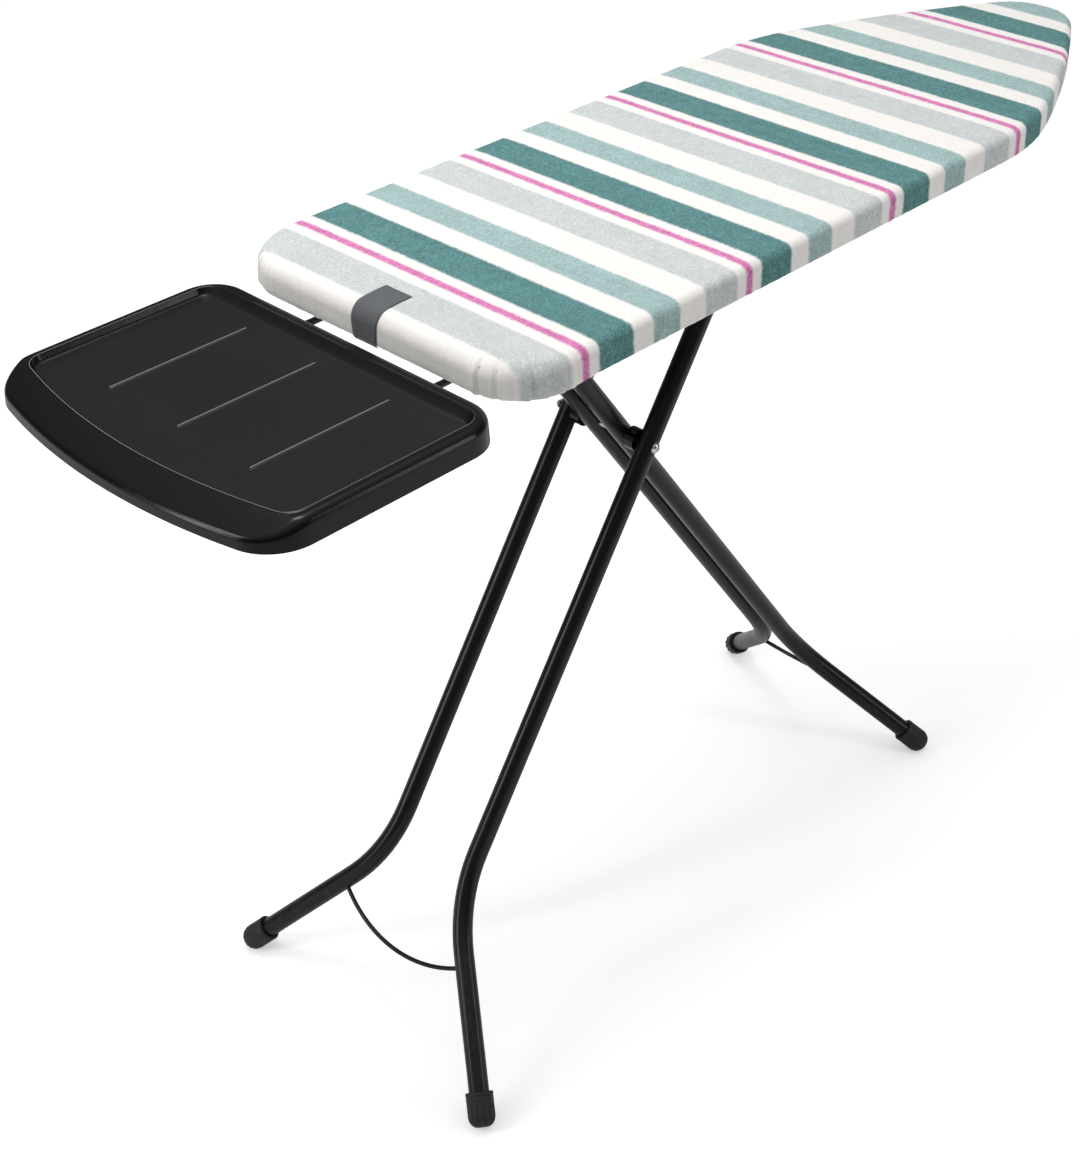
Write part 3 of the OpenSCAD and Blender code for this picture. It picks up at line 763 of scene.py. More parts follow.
def tray_plastic():
    """Black moulded plastic: a grained recess floor, a darker and smoother rim, and a painted pale highlight
    on the lip and ribs.
    """
    material, nodes, shader = new_material("tray_plastic")
    palette = settings().palette
    place = nodes.place()
    grain = nodes.group(group("grain"), Place=place, Grains_per_metre=1500.0, Coarse_share=0.2)
    handling = nodes.group(group("handling"), Place=place, Smudges=0.06, Scuffs=0.04)
    worn = nodes.group(group("wear"), Place=place, Amount=0.3).outputs[0]
    floor = nodes.marked("grained floor")
    lip = nodes.marked("painted lip highlight")
    tone = nodes.between(grain.outputs["Tone"], 0.3, 0.7, 0.0, 0.5)
    grained = nodes.mix(tone, scaled(palette.plastic, 1.6), scaled(palette.plastic, 2.1))
    base = nodes.mix(floor, scaled(palette.plastic, 0.45), grained)
    worn_base = nodes.mix(worn, base, linear(70, 70, 71))
    # Painted highlight: the colour turns pale grey along the recess's lip and the ribs' crests
    nodes.feed(shader.inputs["Base Color"], nodes.mix(lip, worn_base, linear(150, 150, 151)))
    gloss = nodes.between(floor, 0.0, 1.0, 0.2, 0.34)
    nodes.feed(shader.inputs["Roughness"], nodes.math("ADD", handling.outputs[0], gloss))
    shader.inputs["Specular IOR Level"].default_value = 0.24
    bumped(nodes, shader, grain.outputs["Height"], 0.00005)
    return material


def foot_rubber():
    """Matt black rubber, scuffed and dusty low down."""
    material, nodes, shader = new_material("foot_rubber")
    palette = settings().palette
    place = nodes.place()
    grain = nodes.group(group("grain"), Place=place, Grains_per_metre=900.0, Coarse_share=0.4)
    split = nodes.split(place)
    low = nodes.between(split["Z"], 0.0, 0.02, 0.5, 0.0)
    dust = nodes.math("MULTIPLY", low, nodes.between(grain.outputs["Tone"], 0.4, 0.65))
    nodes.feed(shader.inputs["Base Color"], nodes.mix(dust, palette.rubber, linear(96, 94, 90)))
    nodes.feed(shader.inputs["Roughness"], nodes.between(grain.outputs["Tone"], 0.3, 0.7, 0.5, 0.68))
    bumped(nodes, shader, grain.outputs["Height"], 0.0001)
    return material


def zinc_plate():
    """Zinc plate: soft spangles of slightly different tone and gloss."""
    material, nodes, shader = new_material("zinc_plate")
    palette = settings().palette
    place = nodes.place()
    cells = nodes.add("ShaderNodeTexVoronoi")
    nodes.feed(cells.inputs["Vector"], place)
    cells.inputs["Scale"].default_value = 220.0
    split = nodes.split(cells.outputs["Color"], "ShaderNodeSeparateColor")
    handling = nodes.group(group("handling"), Place=place, Smudges=0.16, Scuffs=0.12)
    nodes.feed(shader.inputs["Base Color"], nodes.mix(split[0], palette.zinc, scaled(palette.zinc, 0.72)))
    shader.inputs["Metallic"].default_value = 1.0
    cell_gloss = nodes.between(split[1], 0.0, 1.0, 0.3, 0.42, kind="LINEAR")
    nodes.feed(shader.inputs["Roughness"], nodes.math("ADD", cell_gloss, handling.outputs[0]))
    grain = nodes.group(group("grain"), Place=place, Grains_per_metre=1800.0, Coarse_share=0.3)
    bumped(nodes, shader, grain.outputs["Height"], 0.00003)
    return material


def bright_steel():
    """Polished fasteners with faint turning marks."""
    material, nodes, shader = new_material("bright_steel")
    palette = settings().palette
    place = nodes.place()
    handling = nodes.group(group("handling"), Place=place, Smudges=0.1, Scuffs=0.08)
    grain = nodes.group(group("grain"), Place=place, Grains_per_metre=2600.0, Coarse_share=0.4)
    tone = grain.outputs["Tone"]
    nodes.feed(shader.inputs["Base Color"], nodes.mix(tone, palette.bright, scaled(palette.bright, 0.8)))
    shader.inputs["Metallic"].default_value = 1.0
    nodes.feed(shader.inputs["Roughness"], nodes.math("ADD", handling.outputs[0], 0.13))
    bumped(nodes, shader, grain.outputs["Height"], 0.00002)
    return material


def natural_nylon():
    """Milky nylon, a little worn."""
    material, nodes, shader = new_material("natural_nylon")
    palette = settings().palette
    place = nodes.place()
    handling = nodes.group(group("handling"), Place=place, Smudges=0.12, Scuffs=0.14)
    grain = nodes.group(group("grain"), Place=place, Grains_per_metre=700.0, Coarse_share=0.5)
    shadowed = scaled(palette.nylon, 0.86)
    nodes.feed(shader.inputs["Base Color"], nodes.mix(grain.outputs["Tone"], palette.nylon, shadowed))
    nodes.feed(shader.inputs["Roughness"], nodes.math("ADD", handling.outputs[0], 0.36))
    shader.inputs["Subsurface Weight"].default_value = 0.15
    shader.inputs["Subsurface Radius"].default_value = (0.002, 0.002, 0.0015)
    bumped(nodes, shader, grain.outputs["Height"], 0.00006)
    return material


def pad_felt():
    """Pressed felt: tangled fibres and small flecks."""
    material, nodes, shader = new_material("pad_felt")
    palette = settings().palette
    place = nodes.place()
    tangle = nodes.noise(place, 700.0, detail=4.0, roughness=0.7, distortion=1.6)
    fleck = nodes.between(nodes.noise(place, 240.0, detail=3.0), 0.6, 0.7)
    base = nodes.mix(nodes.between(tangle, 0.3, 0.7), scaled(palette.felt, 0.7), palette.felt)
    nodes.feed(shader.inputs["Base Color"], nodes.mix(fleck, base, linear(150, 160, 170)))
    shader.inputs["Roughness"].default_value = 0.95
    shader.inputs["Sheen Weight"].default_value = 0.3
    bumped(nodes, shader, tangle, 0.0006)
    return material


def sewing_thread():
    """Twisted cotton thread."""
    material, nodes, shader = new_material("sewing_thread")
    palette = settings().palette
    twist = nodes.noise(nodes.place(), 2400.0, detail=2.0, distortion=2.0)
    nodes.feed(shader.inputs["Base Color"], nodes.mix(twist, scaled(palette.thread, 0.6), palette.thread))
    shader.inputs["Roughness"].default_value = 0.8
    bumped(nodes, shader, twist, 0.0001)
    return material


# The print: plain stripes in an even repeat. Each has its colour in the palette, its start and its end, in
# millimetres from the start of the repeat.
REPEAT = 250.0
STRIPES = (("pale_grey", 20.0, 70.0), ("pink", 85.0, 95.0), ("teal", 110.0, 160.0), ("sage", 190.0, 230.0))


def printed_cotton():
    """Woven cotton with a plain print: soft-edged stripes across the board, in an even repeat."""
    material, nodes, shader = new_material("printed_cotton")
    palette = settings().palette
    place = nodes.place()
    split = nodes.split(place)
    along = nodes.math("MULTIPLY", nodes.math("SUBTRACT", split["X"], HEEL_X), 1000.0)
    in_repeat = nodes.math("FLOORED_MODULO", along, REPEAT)

    # The dye spreads a little at the edges of each stripe
    strokes = nodes.noise(nodes.stretched(place, 45.0, 80.0, 80.0), 1.0, detail=5.0, roughness=0.7)
    grit = nodes.noise(place, 330.0, detail=3.0, roughness=0.7)
    brush = nodes.math("MULTIPLY_ADD", strokes, 3.4, -1.7)
    brush = nodes.math("ADD", brush, nodes.math("MULTIPLY_ADD", grit, 4.4, -2.2))
    colour = rgba(palette.cream)
    for name, start, end in STRIPES:
        laid = nodes.group(
            group("stripe"), Below=colour, Along=in_repeat, Brush=brush, Start=start, End=end,
            Colour=rgba(getattr(palette, name)),
        )
        laid.label = name
        colour = laid.outputs[0]

    # Pigment settles in the weave: fine speckle, and long tone streaks across the board
    speckle = nodes.noise(place, 420.0, detail=4.0, roughness=0.75)
    pooled = nodes.noise(nodes.stretched(place, 90.0, 9.0, 9.0), 1.0, detail=4.0, roughness=0.6)
    clouds = nodes.noise(nodes.stretched(place, 26.0, 16.0, 16.0), 1.0, detail=5.0, roughness=0.62)
    tone = nodes.between(speckle, 0.36, 0.64, 0.6, 1.34, kind="LINEAR")
    mottle = nodes.noise(place, 110.0, detail=4.0, roughness=0.7, distortion=0.4)
    tone = nodes.math("MULTIPLY", tone, nodes.between(mottle, 0.33, 0.67, 0.84, 1.14, kind="LINEAR"))
    tone = nodes.math("MULTIPLY", tone, nodes.between(pooled, 0.3, 0.7, 0.93, 1.06, kind="LINEAR"))
    tone = nodes.math("MULTIPLY", tone, nodes.between(clouds, 0.3, 0.7, 0.94, 1.05, kind="LINEAR"))
    # Pale paint shows little of it
    bright = nodes.add("ShaderNodeRGBToBW")
    nodes.feed(bright.inputs[0], colour)
    shown = nodes.between(bright.outputs[0], 0.25, 0.85, 1.0, 0.14, kind="LINEAR")
    tone = nodes.math("ADD", nodes.math("MULTIPLY", nodes.math("SUBTRACT", tone, 1.0), shown), 1.0)
    colour = nodes.mix(1.0, colour, nodes.grey(tone), blend="MULTIPLY")
    weave = nodes.group(group("weave"), Place=place, Threads_per_metre=1500.0)
    shadow = nodes.between(weave.outputs["Shade"], 0.0, 1.0, 0.93, 1.0, kind="LINEAR")
    nodes.feed(shader.inputs["Base Color"], nodes.mix(1.0, colour, nodes.grey(shadow), blend="MULTIPLY"))
    roughness = nodes.between(weave.outputs["Shade"], 0.0, 1.0, 0.92, 0.8, kind="LINEAR")
    nodes.feed(shader.inputs["Roughness"], roughness)
    shader.inputs["Sheen Weight"].default_value = 0.03
    shader.inputs["Sheen Roughness"].default_value = 0.6
    shader.inputs["Specular IOR Level"].default_value = 0.12
    fuzz = nodes.math("MULTIPLY_ADD", speckle, 1.6, weave.outputs["Height"])
    bumped(nodes, shader, fuzz, 0.00016)
    return material


def tab_cloth():
    """Plain dark woven tape."""
    material, nodes, shader = new_material("tab_cloth")
    palette = settings().palette
    weave = nodes.group(group("weave"), Place=nodes.place(), Threads_per_metre=1900.0)
    shade = weave.outputs["Shade"]
    tape = nodes.mix(shade, scaled(palette.tab, 0.8), scaled(palette.tab, 1.3))
    nodes.feed(shader.inputs["Base Color"], tape)
    nodes.feed(shader.inputs["Roughness"], nodes.between(shade, 0.0, 1.0, 0.76, 0.68, kind="LINEAR"))
    shader.inputs["Sheen Weight"].default_value = 0.15
    bumped(nodes, shader, weave.outputs["Height"], 0.00015)
    return material


def studio_floor():
    """Plain pale floor that glows a little, so that shadows on it stay soft. From below it is clear."""
    material, nodes, shader = new_material("studio_floor")
    palette = settings().palette
    faint = nodes.noise(nodes.place(), 3.0, detail=2.0)
    darker = scaled(palette.floor, 0.985)
    nodes.feed(shader.inputs["Base Color"], nodes.mix(faint, palette.floor, darker))
    shader.inputs["Roughness"].default_value = 0.85
    shader.inputs["Specular IOR Level"].default_value = 0.15
    shader.inputs["Emission Color"].default_value = (1.0, 1.0, 1.0, 1.0)
    seen = nodes.add("ShaderNodeLightPath").outputs["Is Camera Ray"]
    nodes.feed(shader.inputs["Emission Strength"], nodes.math("MULTIPLY", seen, 0.42))
    from_below = nodes.math("MULTIPLY", seen, nodes.add("ShaderNodeNewGeometry").outputs["Backfacing"])
    either = nodes.add("ShaderNodeMixShader")
    nodes.feed(either.inputs[0], from_below)
    nodes.feed(either.inputs[1], shader.outputs[0])
    nodes.feed(either.inputs[2], nodes.add("ShaderNodeBsdfTransparent").outputs[0])
    nodes.feed(material.node_tree.nodes["Material Output"].inputs["Surface"], either.outputs[0])
    return material


MATERIALS = {}


def finish_of(name):
    """A material, built the first time that it is asked for."""
    builders = (
        powder_coat, tray_plastic, foot_rubber, zinc_plate, bright_steel, natural_nylon, pad_felt,
        sewing_thread, printed_cotton, tab_cloth, studio_floor,
    )
    if name not in MATERIALS:
        MATERIALS[name] = next(build for build in builders if build.__name__ == name)()
    return MATERIALS[name]


# ---- Cloth ------------------------------------------------------------------


def wave(value, length, shift):
    """A sine wave along the board's edge."""
    return math.sin(math.tau * value / length + shift)


def crease(place):
    """Sharp creases with a soft lip beside each, at uneven places round the edge. From about -1 to 0.5."""
    pitch, width = 0.019, 0.0022
    height = 0.0
    for k in range(int(place / pitch) - 1, int(place / pitch) + 2):
        centre = (k + 0.5 + 0.8 * noise.noise(Vector((k * 1.37, 3.1, 0.0)))) * pitch
        depth = 0.25 + 1.3 * abs(noise.noise(Vector((k * 2.11, 8.7, 0.0))))
        gap = (place - centre) / width
        height += depth * (0.55 * math.exp(-(((gap - 2.0) / 1.6) ** 2)) - math.exp(-(gap**2)))
    return height


def slack(x, y):
    """How loose the cloth is at a place on the edge: most at the heel's corners, some at the nose."""
    board = settings().board
    corner_x, corner_y = HEEL_X + board.heel_radius, HALF_WIDTH - board.heel_radius
    corner = float(smooth(0.045, -0.01, x - corner_x)) * float(smooth(-0.03, 0.025, abs(y) - corner_y))
    beside_tab = float(smooth(0.024, 0.045, abs(y - (TAB_LOW.y + TAB_HIGH.y) / 2)))
    heel = 0.22 * float(smooth(0.05, -0.005, x - HEEL_X)) * beside_tab
    nose = 0.4 * float(smooth(-0.16, -0.03, x - COVER_HIGH.x))
    side = 0.07 * float(smooth(0.02, 0.1, x - HEEL_X))
    return max(corner, heel, nose, side)


def near_heel(x):
    """1 at the heel, fading to 0 along the board."""
    return float(smooth(0.12, 0.025, x - HEEL_X))


def edge_rolls(x):
    """Radius of the top edge and of the lower edge at a place along the board."""
    cover = settings().cover
    heel = near_heel(x)
    nose = 0.15 * float(smooth(-0.22, -0.08, x - COVER_HIGH.x))
    roll = cover.side_roll + (cover.heel_roll - cover.side_roll) * max(heel, nose)
    foot = cover.side_foot + (cover.heel_foot - cover.side_foot) * heel
    return roll, foot


def cover_top(x, y, inset):
    """Height of the cover's top at a place this far inside the edge."""
    cover = settings().cover
    share = max(0.0, 1 - inset / cover.shoulder)
    slow = noise.noise(Vector((x / 0.13, y / 0.17, 0.4)))
    small = noise.noise(Vector((x / 0.05, y / 0.07, 5.2)))
    taut = 1 - 0.6 * share
    sink = cover.sink + (cover.heel_sink - cover.sink) * near_heel(x)
    return TOP_Z + 0.0004 - sink * share**2 + cover.waves * taut * (slow + 0.3 * small)


def cover_section(roll, foot):
    """The cover's section from the hem's inner edge to the top.

    Each row is (inset, height over the hem, outward share, upward share, looseness). A height of None is the
    top.
    """
    cover = settings().cover
    rows = [(cover.hem - 0.001, 0.0022, 0, -1, 0.3)]
    rows += [(inset, 0.0006, 0, -1, 0.6) for inset in np.linspace(cover.hem, foot + 0.001, 6)]
    for turn in np.radians(np.linspace(270, 180, 6)):
        ahead, up = math.cos(turn), math.sin(turn)
        rows.append((foot + foot * ahead, foot + foot * up, -ahead, up, 1.0))
    wall_top = TOP_Z - HEM_Z - roll
    for share in (0.2, 0.4, 0.6, 0.8, 1.0):
        rows.append((0.0, foot + (wall_top - foot) * share, 1, 0, 1 - 0.25 * share))
    for share in np.linspace(1 / 7, 1, 7):
        turn = math.pi * (1 - share / 2)
        ahead, up = math.cos(turn), math.sin(turn)
        rows.append((roll + roll * ahead, wall_top + roll * up, -ahead, up, 0.75 - 0.5 * share))
    for share in (0.12, 0.3, 0.52, 0.76, 1.0):
        rows.append((roll + (cover.shoulder - roll) * share, None, 0, 1, 0.25 * (1 - share) ** 2))
    return rows


def cover_point(edge, normal, place, row):
    """One point of the cover's side, hem or soft band."""
    cover = settings().cover
    inset, height, outward, upward, loose = row
    x, y = edge - normal * inset
    amount = slack(*edge)
    top = cover_top(x, y, inset)
    push = max(cover.gathers * crease(place) + 0.0012, -0.0013) * amount * loose
    if height is None:
        return x, y, top + push
    share = height / (TOP_Z - HEM_Z)
    belly = 0.0006 * noise.noise(Vector((place / 0.09, height / 0.03, 1.7))) * loose
    ruffle = wave(place, 0.0125, 0.3) + wave(place, 0.0195, 1.9)
    ruffle *= noise.noise(Vector((place / 0.05, 2.2, 0.0)))
    drop = 0.0024 * max(0.25, amount) * ruffle * (1 - share) ** 2
    out = push * outward + belly * outward
    drop -= cover.heel_drop * near_heel(edge[0]) * (1 - share)
    z = HEM_Z + height + drop + push * max(upward, 0) + (top - TOP_Z) * share
    return x + normal[0] * out, y + normal[1] * out, z


def edge_lengths(edge):
    """Distance round a loop to each of its points."""
    steps = np.linalg.norm(np.roll(edge, -1, axis=0) - edge, axis=1)
    return np.concatenate(([0.0], np.cumsum(steps)[:-1]))


def cover_mesh():
    """Points and faces of the cover's outer face."""
    cover = settings().cover
    edge, normals = board_edge(cover.step)
    places = edge_lengths(edge)
    count = len(edge)
    sections = [cover_section(*edge_rolls(x)) for x, y in edge]
    points, rings = [], []
    for k in range(len(sections[0])):
        rings.append(len(points))
        points += [cover_point(edge[i], normals[i], places[i], sections[i][k]) for i in range(count)]
    faces = strips(rings, count, clockwise(edge))
    rim = np.array(points[rings[-1]:])[:, :2]
    inner = grid_inside(edge, normals, cover.cell, cover.shoulder + cover.cell * 0.6)
    insets = inset_of(inner, edge, normals)[0]
    faces += filled(rim, rings[-1], inner, len(points))
    points += [(x, y, cover_top(x, y, inset)) for (x, y), inset in zip(inner, insets)]
    return points, faces


def stitch_row(edge, normals, inset, height, pitch, length, radius):
    """A row of stitches round an outline."""
    places = edge_lengths(edge)
    total = places[-1] + float(np.linalg.norm(edge[0] - edge[-1]))
    parts = []
    for k in range(int(total / pitch)):
        i = int(np.searchsorted(places, k * pitch)) % len(edge)
        ahead = Vector((-normals[i][1], normals[i][0], 0))
        centre = Vector((*(edge[i] - normals[i] * inset), height))
        ends = [centre - ahead * length / 2, centre + ahead * length / 2]
        middle = centre - Vector((0, 0, radius))
        parts.append(swept([ends[0], middle, ends[1]], radius, 6))
    return joined(parts)


def tab_mesh():
    """Points and faces of the label tab: it lies on the top, turns over the heel and tucks in below."""
    roll, foot = edge_rolls(HEEL_X)
    lift = 0.0008
    wall_top = TOP_Z - roll
    path = [(inset, TOP_Z, 0, 1) for inset in np.linspace(TAB_HIGH.x - HEEL_X, roll + 0.002, 12)]
    for turn in np.radians(np.linspace(90, 180, 10)):
        ahead, upward = math.cos(turn), math.sin(turn)
        path.append((roll + roll * ahead, wall_top + roll * upward, ahead, upward))
    path += [(0.0, z, -1, 0) for z in np.linspace(wall_top, HEM_Z + foot, 5)[1:]]
    for turn in np.radians(np.linspace(190, 240, 6)):
        ahead, upward = math.cos(turn), math.sin(turn)
        path.append((foot + foot * ahead, HEM_Z + foot + foot * upward, ahead, upward))
    rows = np.linspace(TAB_LOW.y, TAB_HIGH.y, 17)
    points = []
    for inset, z, ahead, upward in path:
        for y in rows:
            share = min(1.0, max(0.0, (z - HEM_Z) / (TOP_Z - HEM_Z)))
            drift = cover_top(HEEL_X + inset, y, inset) - TOP_Z
            drift = drift * share - settings().cover.heel_drop * (1 - share)
            middle = (rows[0] + rows[-1]) / 2
            taper = middle + (y - middle) * (1 - 0.12 * (1 - share))
            side = abs(2 * (y - rows[0]) / (rows[-1] - rows[0]) - 1)
            out = lift + 0.0005 * (1 - upward) + 0.0003 * side**3
            points.append((HEEL_X + inset + ahead * out, taper, z + upward * out + drift))
    across = len(rows)
    faces = []
    for k in range(len(path) - 1):
        for i in range(across - 1):
            a, b = k * across + i, (k + 1) * across + i
            faces.append((a, a + 1, b + 1, b))
    return points, faces


def pad_mesh():
    """Points and faces of the felt pad, with soft edges."""
    step, cell = 0.009, 0.02
    edge, normals = board_edge(step)
    points, rings = [], []
    inset = HALF_WIDTH - PAD_HIGH.y
    depth = PAD_HIGH.z - PAD_LOW.z
    rise = ((0.0012, 0.0), (0.0014, 0.2), (0.0033, 0.5), (0.0062, 0.78), (0.0095, 0.94), (0.02, 1.0))
    section = [(inset + 0.02, PAD_LOW.z)]
    section += [(inset + gap, PAD_LOW.z + depth * share) for gap, share in rise]
    for gap, z in section:
        rings.append(len(points))
        for i, (x, y) in enumerate(edge - normals * gap):
            fibre = 0.0002 * noise.noise(Vector((x / 0.012, y / 0.012, z / 0.004)))
            fall = min(0.0, cover_top(x, y, gap) - TOP_Z) * (z - PAD_LOW.z) / depth
            points.append((x + normals[i][0] * fibre, y + normals[i][1] * fibre, z + fall))
    turned = clockwise(edge)
    faces = strips(rings, len(edge), turned)
    inner = grid_inside(edge, normals, cell, inset + 0.03)
    for ring, z, upward in ((rings[-1], PAD_HIGH.z, True), (rings[0], PAD_LOW.z, False)):
        rim = np.array(points[ring:ring + len(edge)])[:, :2]
        made = filled(rim, ring, inner, len(points))
        faces += made if upward else [face[::-1] for face in made]
        points += [(x, y, z) for x, y in inner]
    return points, faces


# ---- Steel deck -------------------------------------------------------------


def deck_mesh():
    """Points and faces of the expanded-steel deck: diamonds between strands, inside a plain border."""
    long_way, short_way, strand = 0.026, 0.0125, 0.3
    margin = 0.008
    edge, normals = board_edge(0.012)
    half_x, half_y = long_way / 2, short_way / 2
    columns = int((COVER_HIGH.x - HEEL_X) / half_x) + 1
    rows = int(HALF_WIDTH / half_y) + 1
    nodes = [(i, j) for i in range(columns + 1) for j in range(-rows, rows + 1) if (i + j) % 2 == 0]
    flat = np.array([(HEEL_X + i * half_x, j * half_y) for i, j in nodes])
    insets, nearest = inset_of(flat, edge, normals)
    held = np.where((insets < margin)[:, None], edge[nearest] - normals[nearest] * margin, flat)
    index = {node: k for k, node in enumerate(nodes)}
    points = [(x, y, DECK_Z) for x, y in held]
    faces = []
    for i in range(columns + 1):
        for j in range(-rows, rows + 1):
            corners = [index.get(c) for c in ((i - 1, j), (i, j - 1), (i + 1, j), (i, j + 1))]
            if (i + j) % 2 == 0 or None in corners:
                continue
            inside = [insets[c] > margin for c in corners]
            if sum(inside) < 2:
                continue
            centre = held[corners].mean(axis=0)
            base = len(points)
            for c in corners:
                x, y = centre + (held[c] - centre) * (1 - strand)
                points.append((x, y, DECK_Z))
            for k in range(4):
                n = (k + 1) % 4
                faces.append((corners[k], corners[n], base + n, base + k))
    ring = len(points)
    turned = clockwise(edge)
    for gap in (0.006, 0.0095, 0.013):
        points += [(x, y, DECK_Z + 0.0002) for x, y in edge - normals * gap]
    faces += strips([ring, ring + len(edge), ring + 2 * len(edge)], len(edge), turned)
    return points, faces


# ---- Iron rest --------------------------------------------------------------


def tray_height(x, y):
    """Height of the tray's outer skin, before its recess: level, and falling away along the front apron."""
    tray = settings().tray
    front_x = TRAY_LOW.x + tray.front_radius
    crease = TRAY_HIGH.z - tray.apron_fall
    slope = tray.apron_fall / (tray.apron - 0.0015)
    falling = crease + (tray.front_radius - math.hypot(x - front_x, y)) * slope
    blend = 0.0016
    level = TRAY_HIGH.z + 0.0003
    return (level + falling - math.sqrt((level - falling) ** 2 + blend**2)) / 2


def tray_ribs():
    """The ribs' places: (y, lowest x, highest x)."""
    tray = settings().tray
    low = HEEL_X - 0.24
    return [(side * tray.rib_spacing, low, low + tray.rib_length) for side in (-1, 0, 1)]


def rib_rise(x, y):
    """Height of a rib over the recess floor."""
    tray = settings().tray
    gap = min(math.hypot(x - min(max(x, low), high), y - rib_y) for rib_y, low, high in tray_ribs())
    return tray.rib_height * float(smooth(0.0021, 0.0006, gap))


def rib_loops():
    """Loops of points round each rib, from its crest to the floor, and each loop's first index and length."""
    points, loops = [], []
    for y, low, high in tray_ribs():
        for gap in (0.0007, 0.0014, 0.0022, 0.0033):
            start = len(points)
            for x in np.linspace(low, high, 28):
                points.append((x, y - gap))
            for turn in np.radians((-54, -18, 18, 54)):
                points.append((high + gap * math.cos(turn), y + gap * math.sin(turn)))
            for x in np.linspace(high, low, 28):
                points.append((x, y + gap))
            for turn in np.radians((126, 162, 198, 234)):
                points.append((low + gap * math.cos(turn), y + gap * math.sin(turn)))
            loops.append((start, len(points) - start))
    return points, loops


def tray_mesh():
    """Points and faces of the tray's upper and outer skin, and each point's painted highlight and graining.
    """
    tray = settings().tray
    plan, plan_normals = tray_edge(
        tray.gap, TRAY_HIGH.y, tray.front_radius, tray.back_corner, tray.front_corner
    )
    corner = tray.recess_corner
    recess, recess_normals = tray_edge(
        tray.recess_gap, tray.recess_half, tray.front_radius - tray.apron, corner, corner
    )
    count = len(plan)
    rolls = tray.front_roll + (tray.edge_roll - tray.front_roll) * smooth(-0.95, -0.2, plan_normals[:, 0])
    draft = 0.0009
    points, rings = [], []

    def ring(places, heights):
        rings.append(len(points))
        points.extend((x, y, z) for (x, y), z in zip(places, heights))

    rim = [tray_height(x, y) for x, y in plan]
    for share in (0.0, 0.04, 0.35, 0.7, 1.0):
        walls = [TRAY_LOW.z + (z - roll - TRAY_LOW.z) * share for z, roll in zip(rim, rolls)]
        ring(plan - plan_normals * draft * share, walls)
    for turn in np.radians((168, 156, 144, 132, 120, 110, 100, 90)):
        places = plan - plan_normals * (rolls * (1 + math.cos(turn)) + draft)[:, None]
        drops = rolls * (1 - math.sin(turn))
        ring(places, [tray_height(x, y) - drop for (x, y), drop in zip(places, drops)])
    inner_plan = plan - plan_normals * (rolls + draft)[:, None]
    lip = recess + recess_normals * 0.0022
    for share in (0.25, 0.5, 0.75, 1.0):
        places = inner_plan + (lip - inner_plan) * share
        ring(places, [tray_height(x, y) for x, y in places])
    facing = np.maximum(recess_normals[:, 0], 0.0)[:, None] ** 2
    slope = tray.recess_slope + (tray.back_slope - tray.recess_slope) * facing
    floor = TRAY_HIGH.z - tray.recess_depth
    for gap, bead in ((0.0018, 0.0), (0.0014, 0.1), (0.001, 0.5), (0.0006, 0.85), (0.0002, 1.0)):
        places = recess + recess_normals * gap
        ring(places, [tray_height(x, y) + tray.bead * bead for x, y in places])
    wall = (
        (0.0, 0.0), (0.05, 0.02), (0.11, 0.09), (0.19, 0.24), (0.5, 0.68),
        (0.66, 0.86), (0.83, 0.965), (1.0, 1.0), (1.12, 1.0),
    )
    for share, fall in wall:
        places = recess - recess_normals * (slope * share)
        ring(places, [(tray_height(x, y) + tray.bead) * (1 - fall) + floor * fall for x, y in places])
    crest = rings[-len(wall) - 1]
    floor_start = rings[-3]
    ribs_start = len(points)
    faces = strips(rings, count, clockwise(plan))
    loops_points, loops = rib_loops()
    grid = grid_inside(recess - recess_normals * slope, recess_normals, 0.011, 0.006)
    clear = [rib_rise(x, y) == 0 and min(abs(y - rib[0]) for rib in tray_ribs()) > 0.006 for x, y in grid]
    inner = loops_points + [tuple(p) for p, free in zip(grid, clear) if free]
    shore = np.array(points[rings[-1]:])[:, :2]
    faces += filled(shore, rings[-1], inner, len(points), loops)
    points += [(x, y, floor + rib_rise(x, y)) for x, y in inner]
    # Painted highlight: strong along the recess's lip at the front and sides, none near the board, weaker on
    # the ribs' crests
    painted_highlight = np.zeros(len(points))
    for start in (crest, crest + count):
        painted_highlight[start : start + count] = smooth(0.9, 0.0, recess_normals[:, 0]) * 0.8
    for start, length in loops[::4]:
        painted_highlight[ribs_start + start : ribs_start + start + length] = 0.45
    grained = np.zeros(len(points))
    grained[floor_start:] = 1.0
    return points, faces, painted_highlight, grained


# ---- Feet and catch ---------------------------------------------------------


def foot_frame(legs, turned):
    """Where a left foot sits: its end at the origin, its axis +Z up the leg. turned legs lean back."""
    lean = math.pi - legs.lean if turned else legs.lean
    return (
        Matrix.Translation(CROSSING)
        @ Matrix.Rotation(lean, 4, "Y")
        @ Matrix.Translation((legs.reach, legs.spacing, 0))
        @ Matrix.Rotation(legs.splay, 4, "Z")
        @ Matrix.Translation((legs.lower, 0, 0))
        @ Matrix.Rotation(-math.pi / 2, 4, "Y")
    )


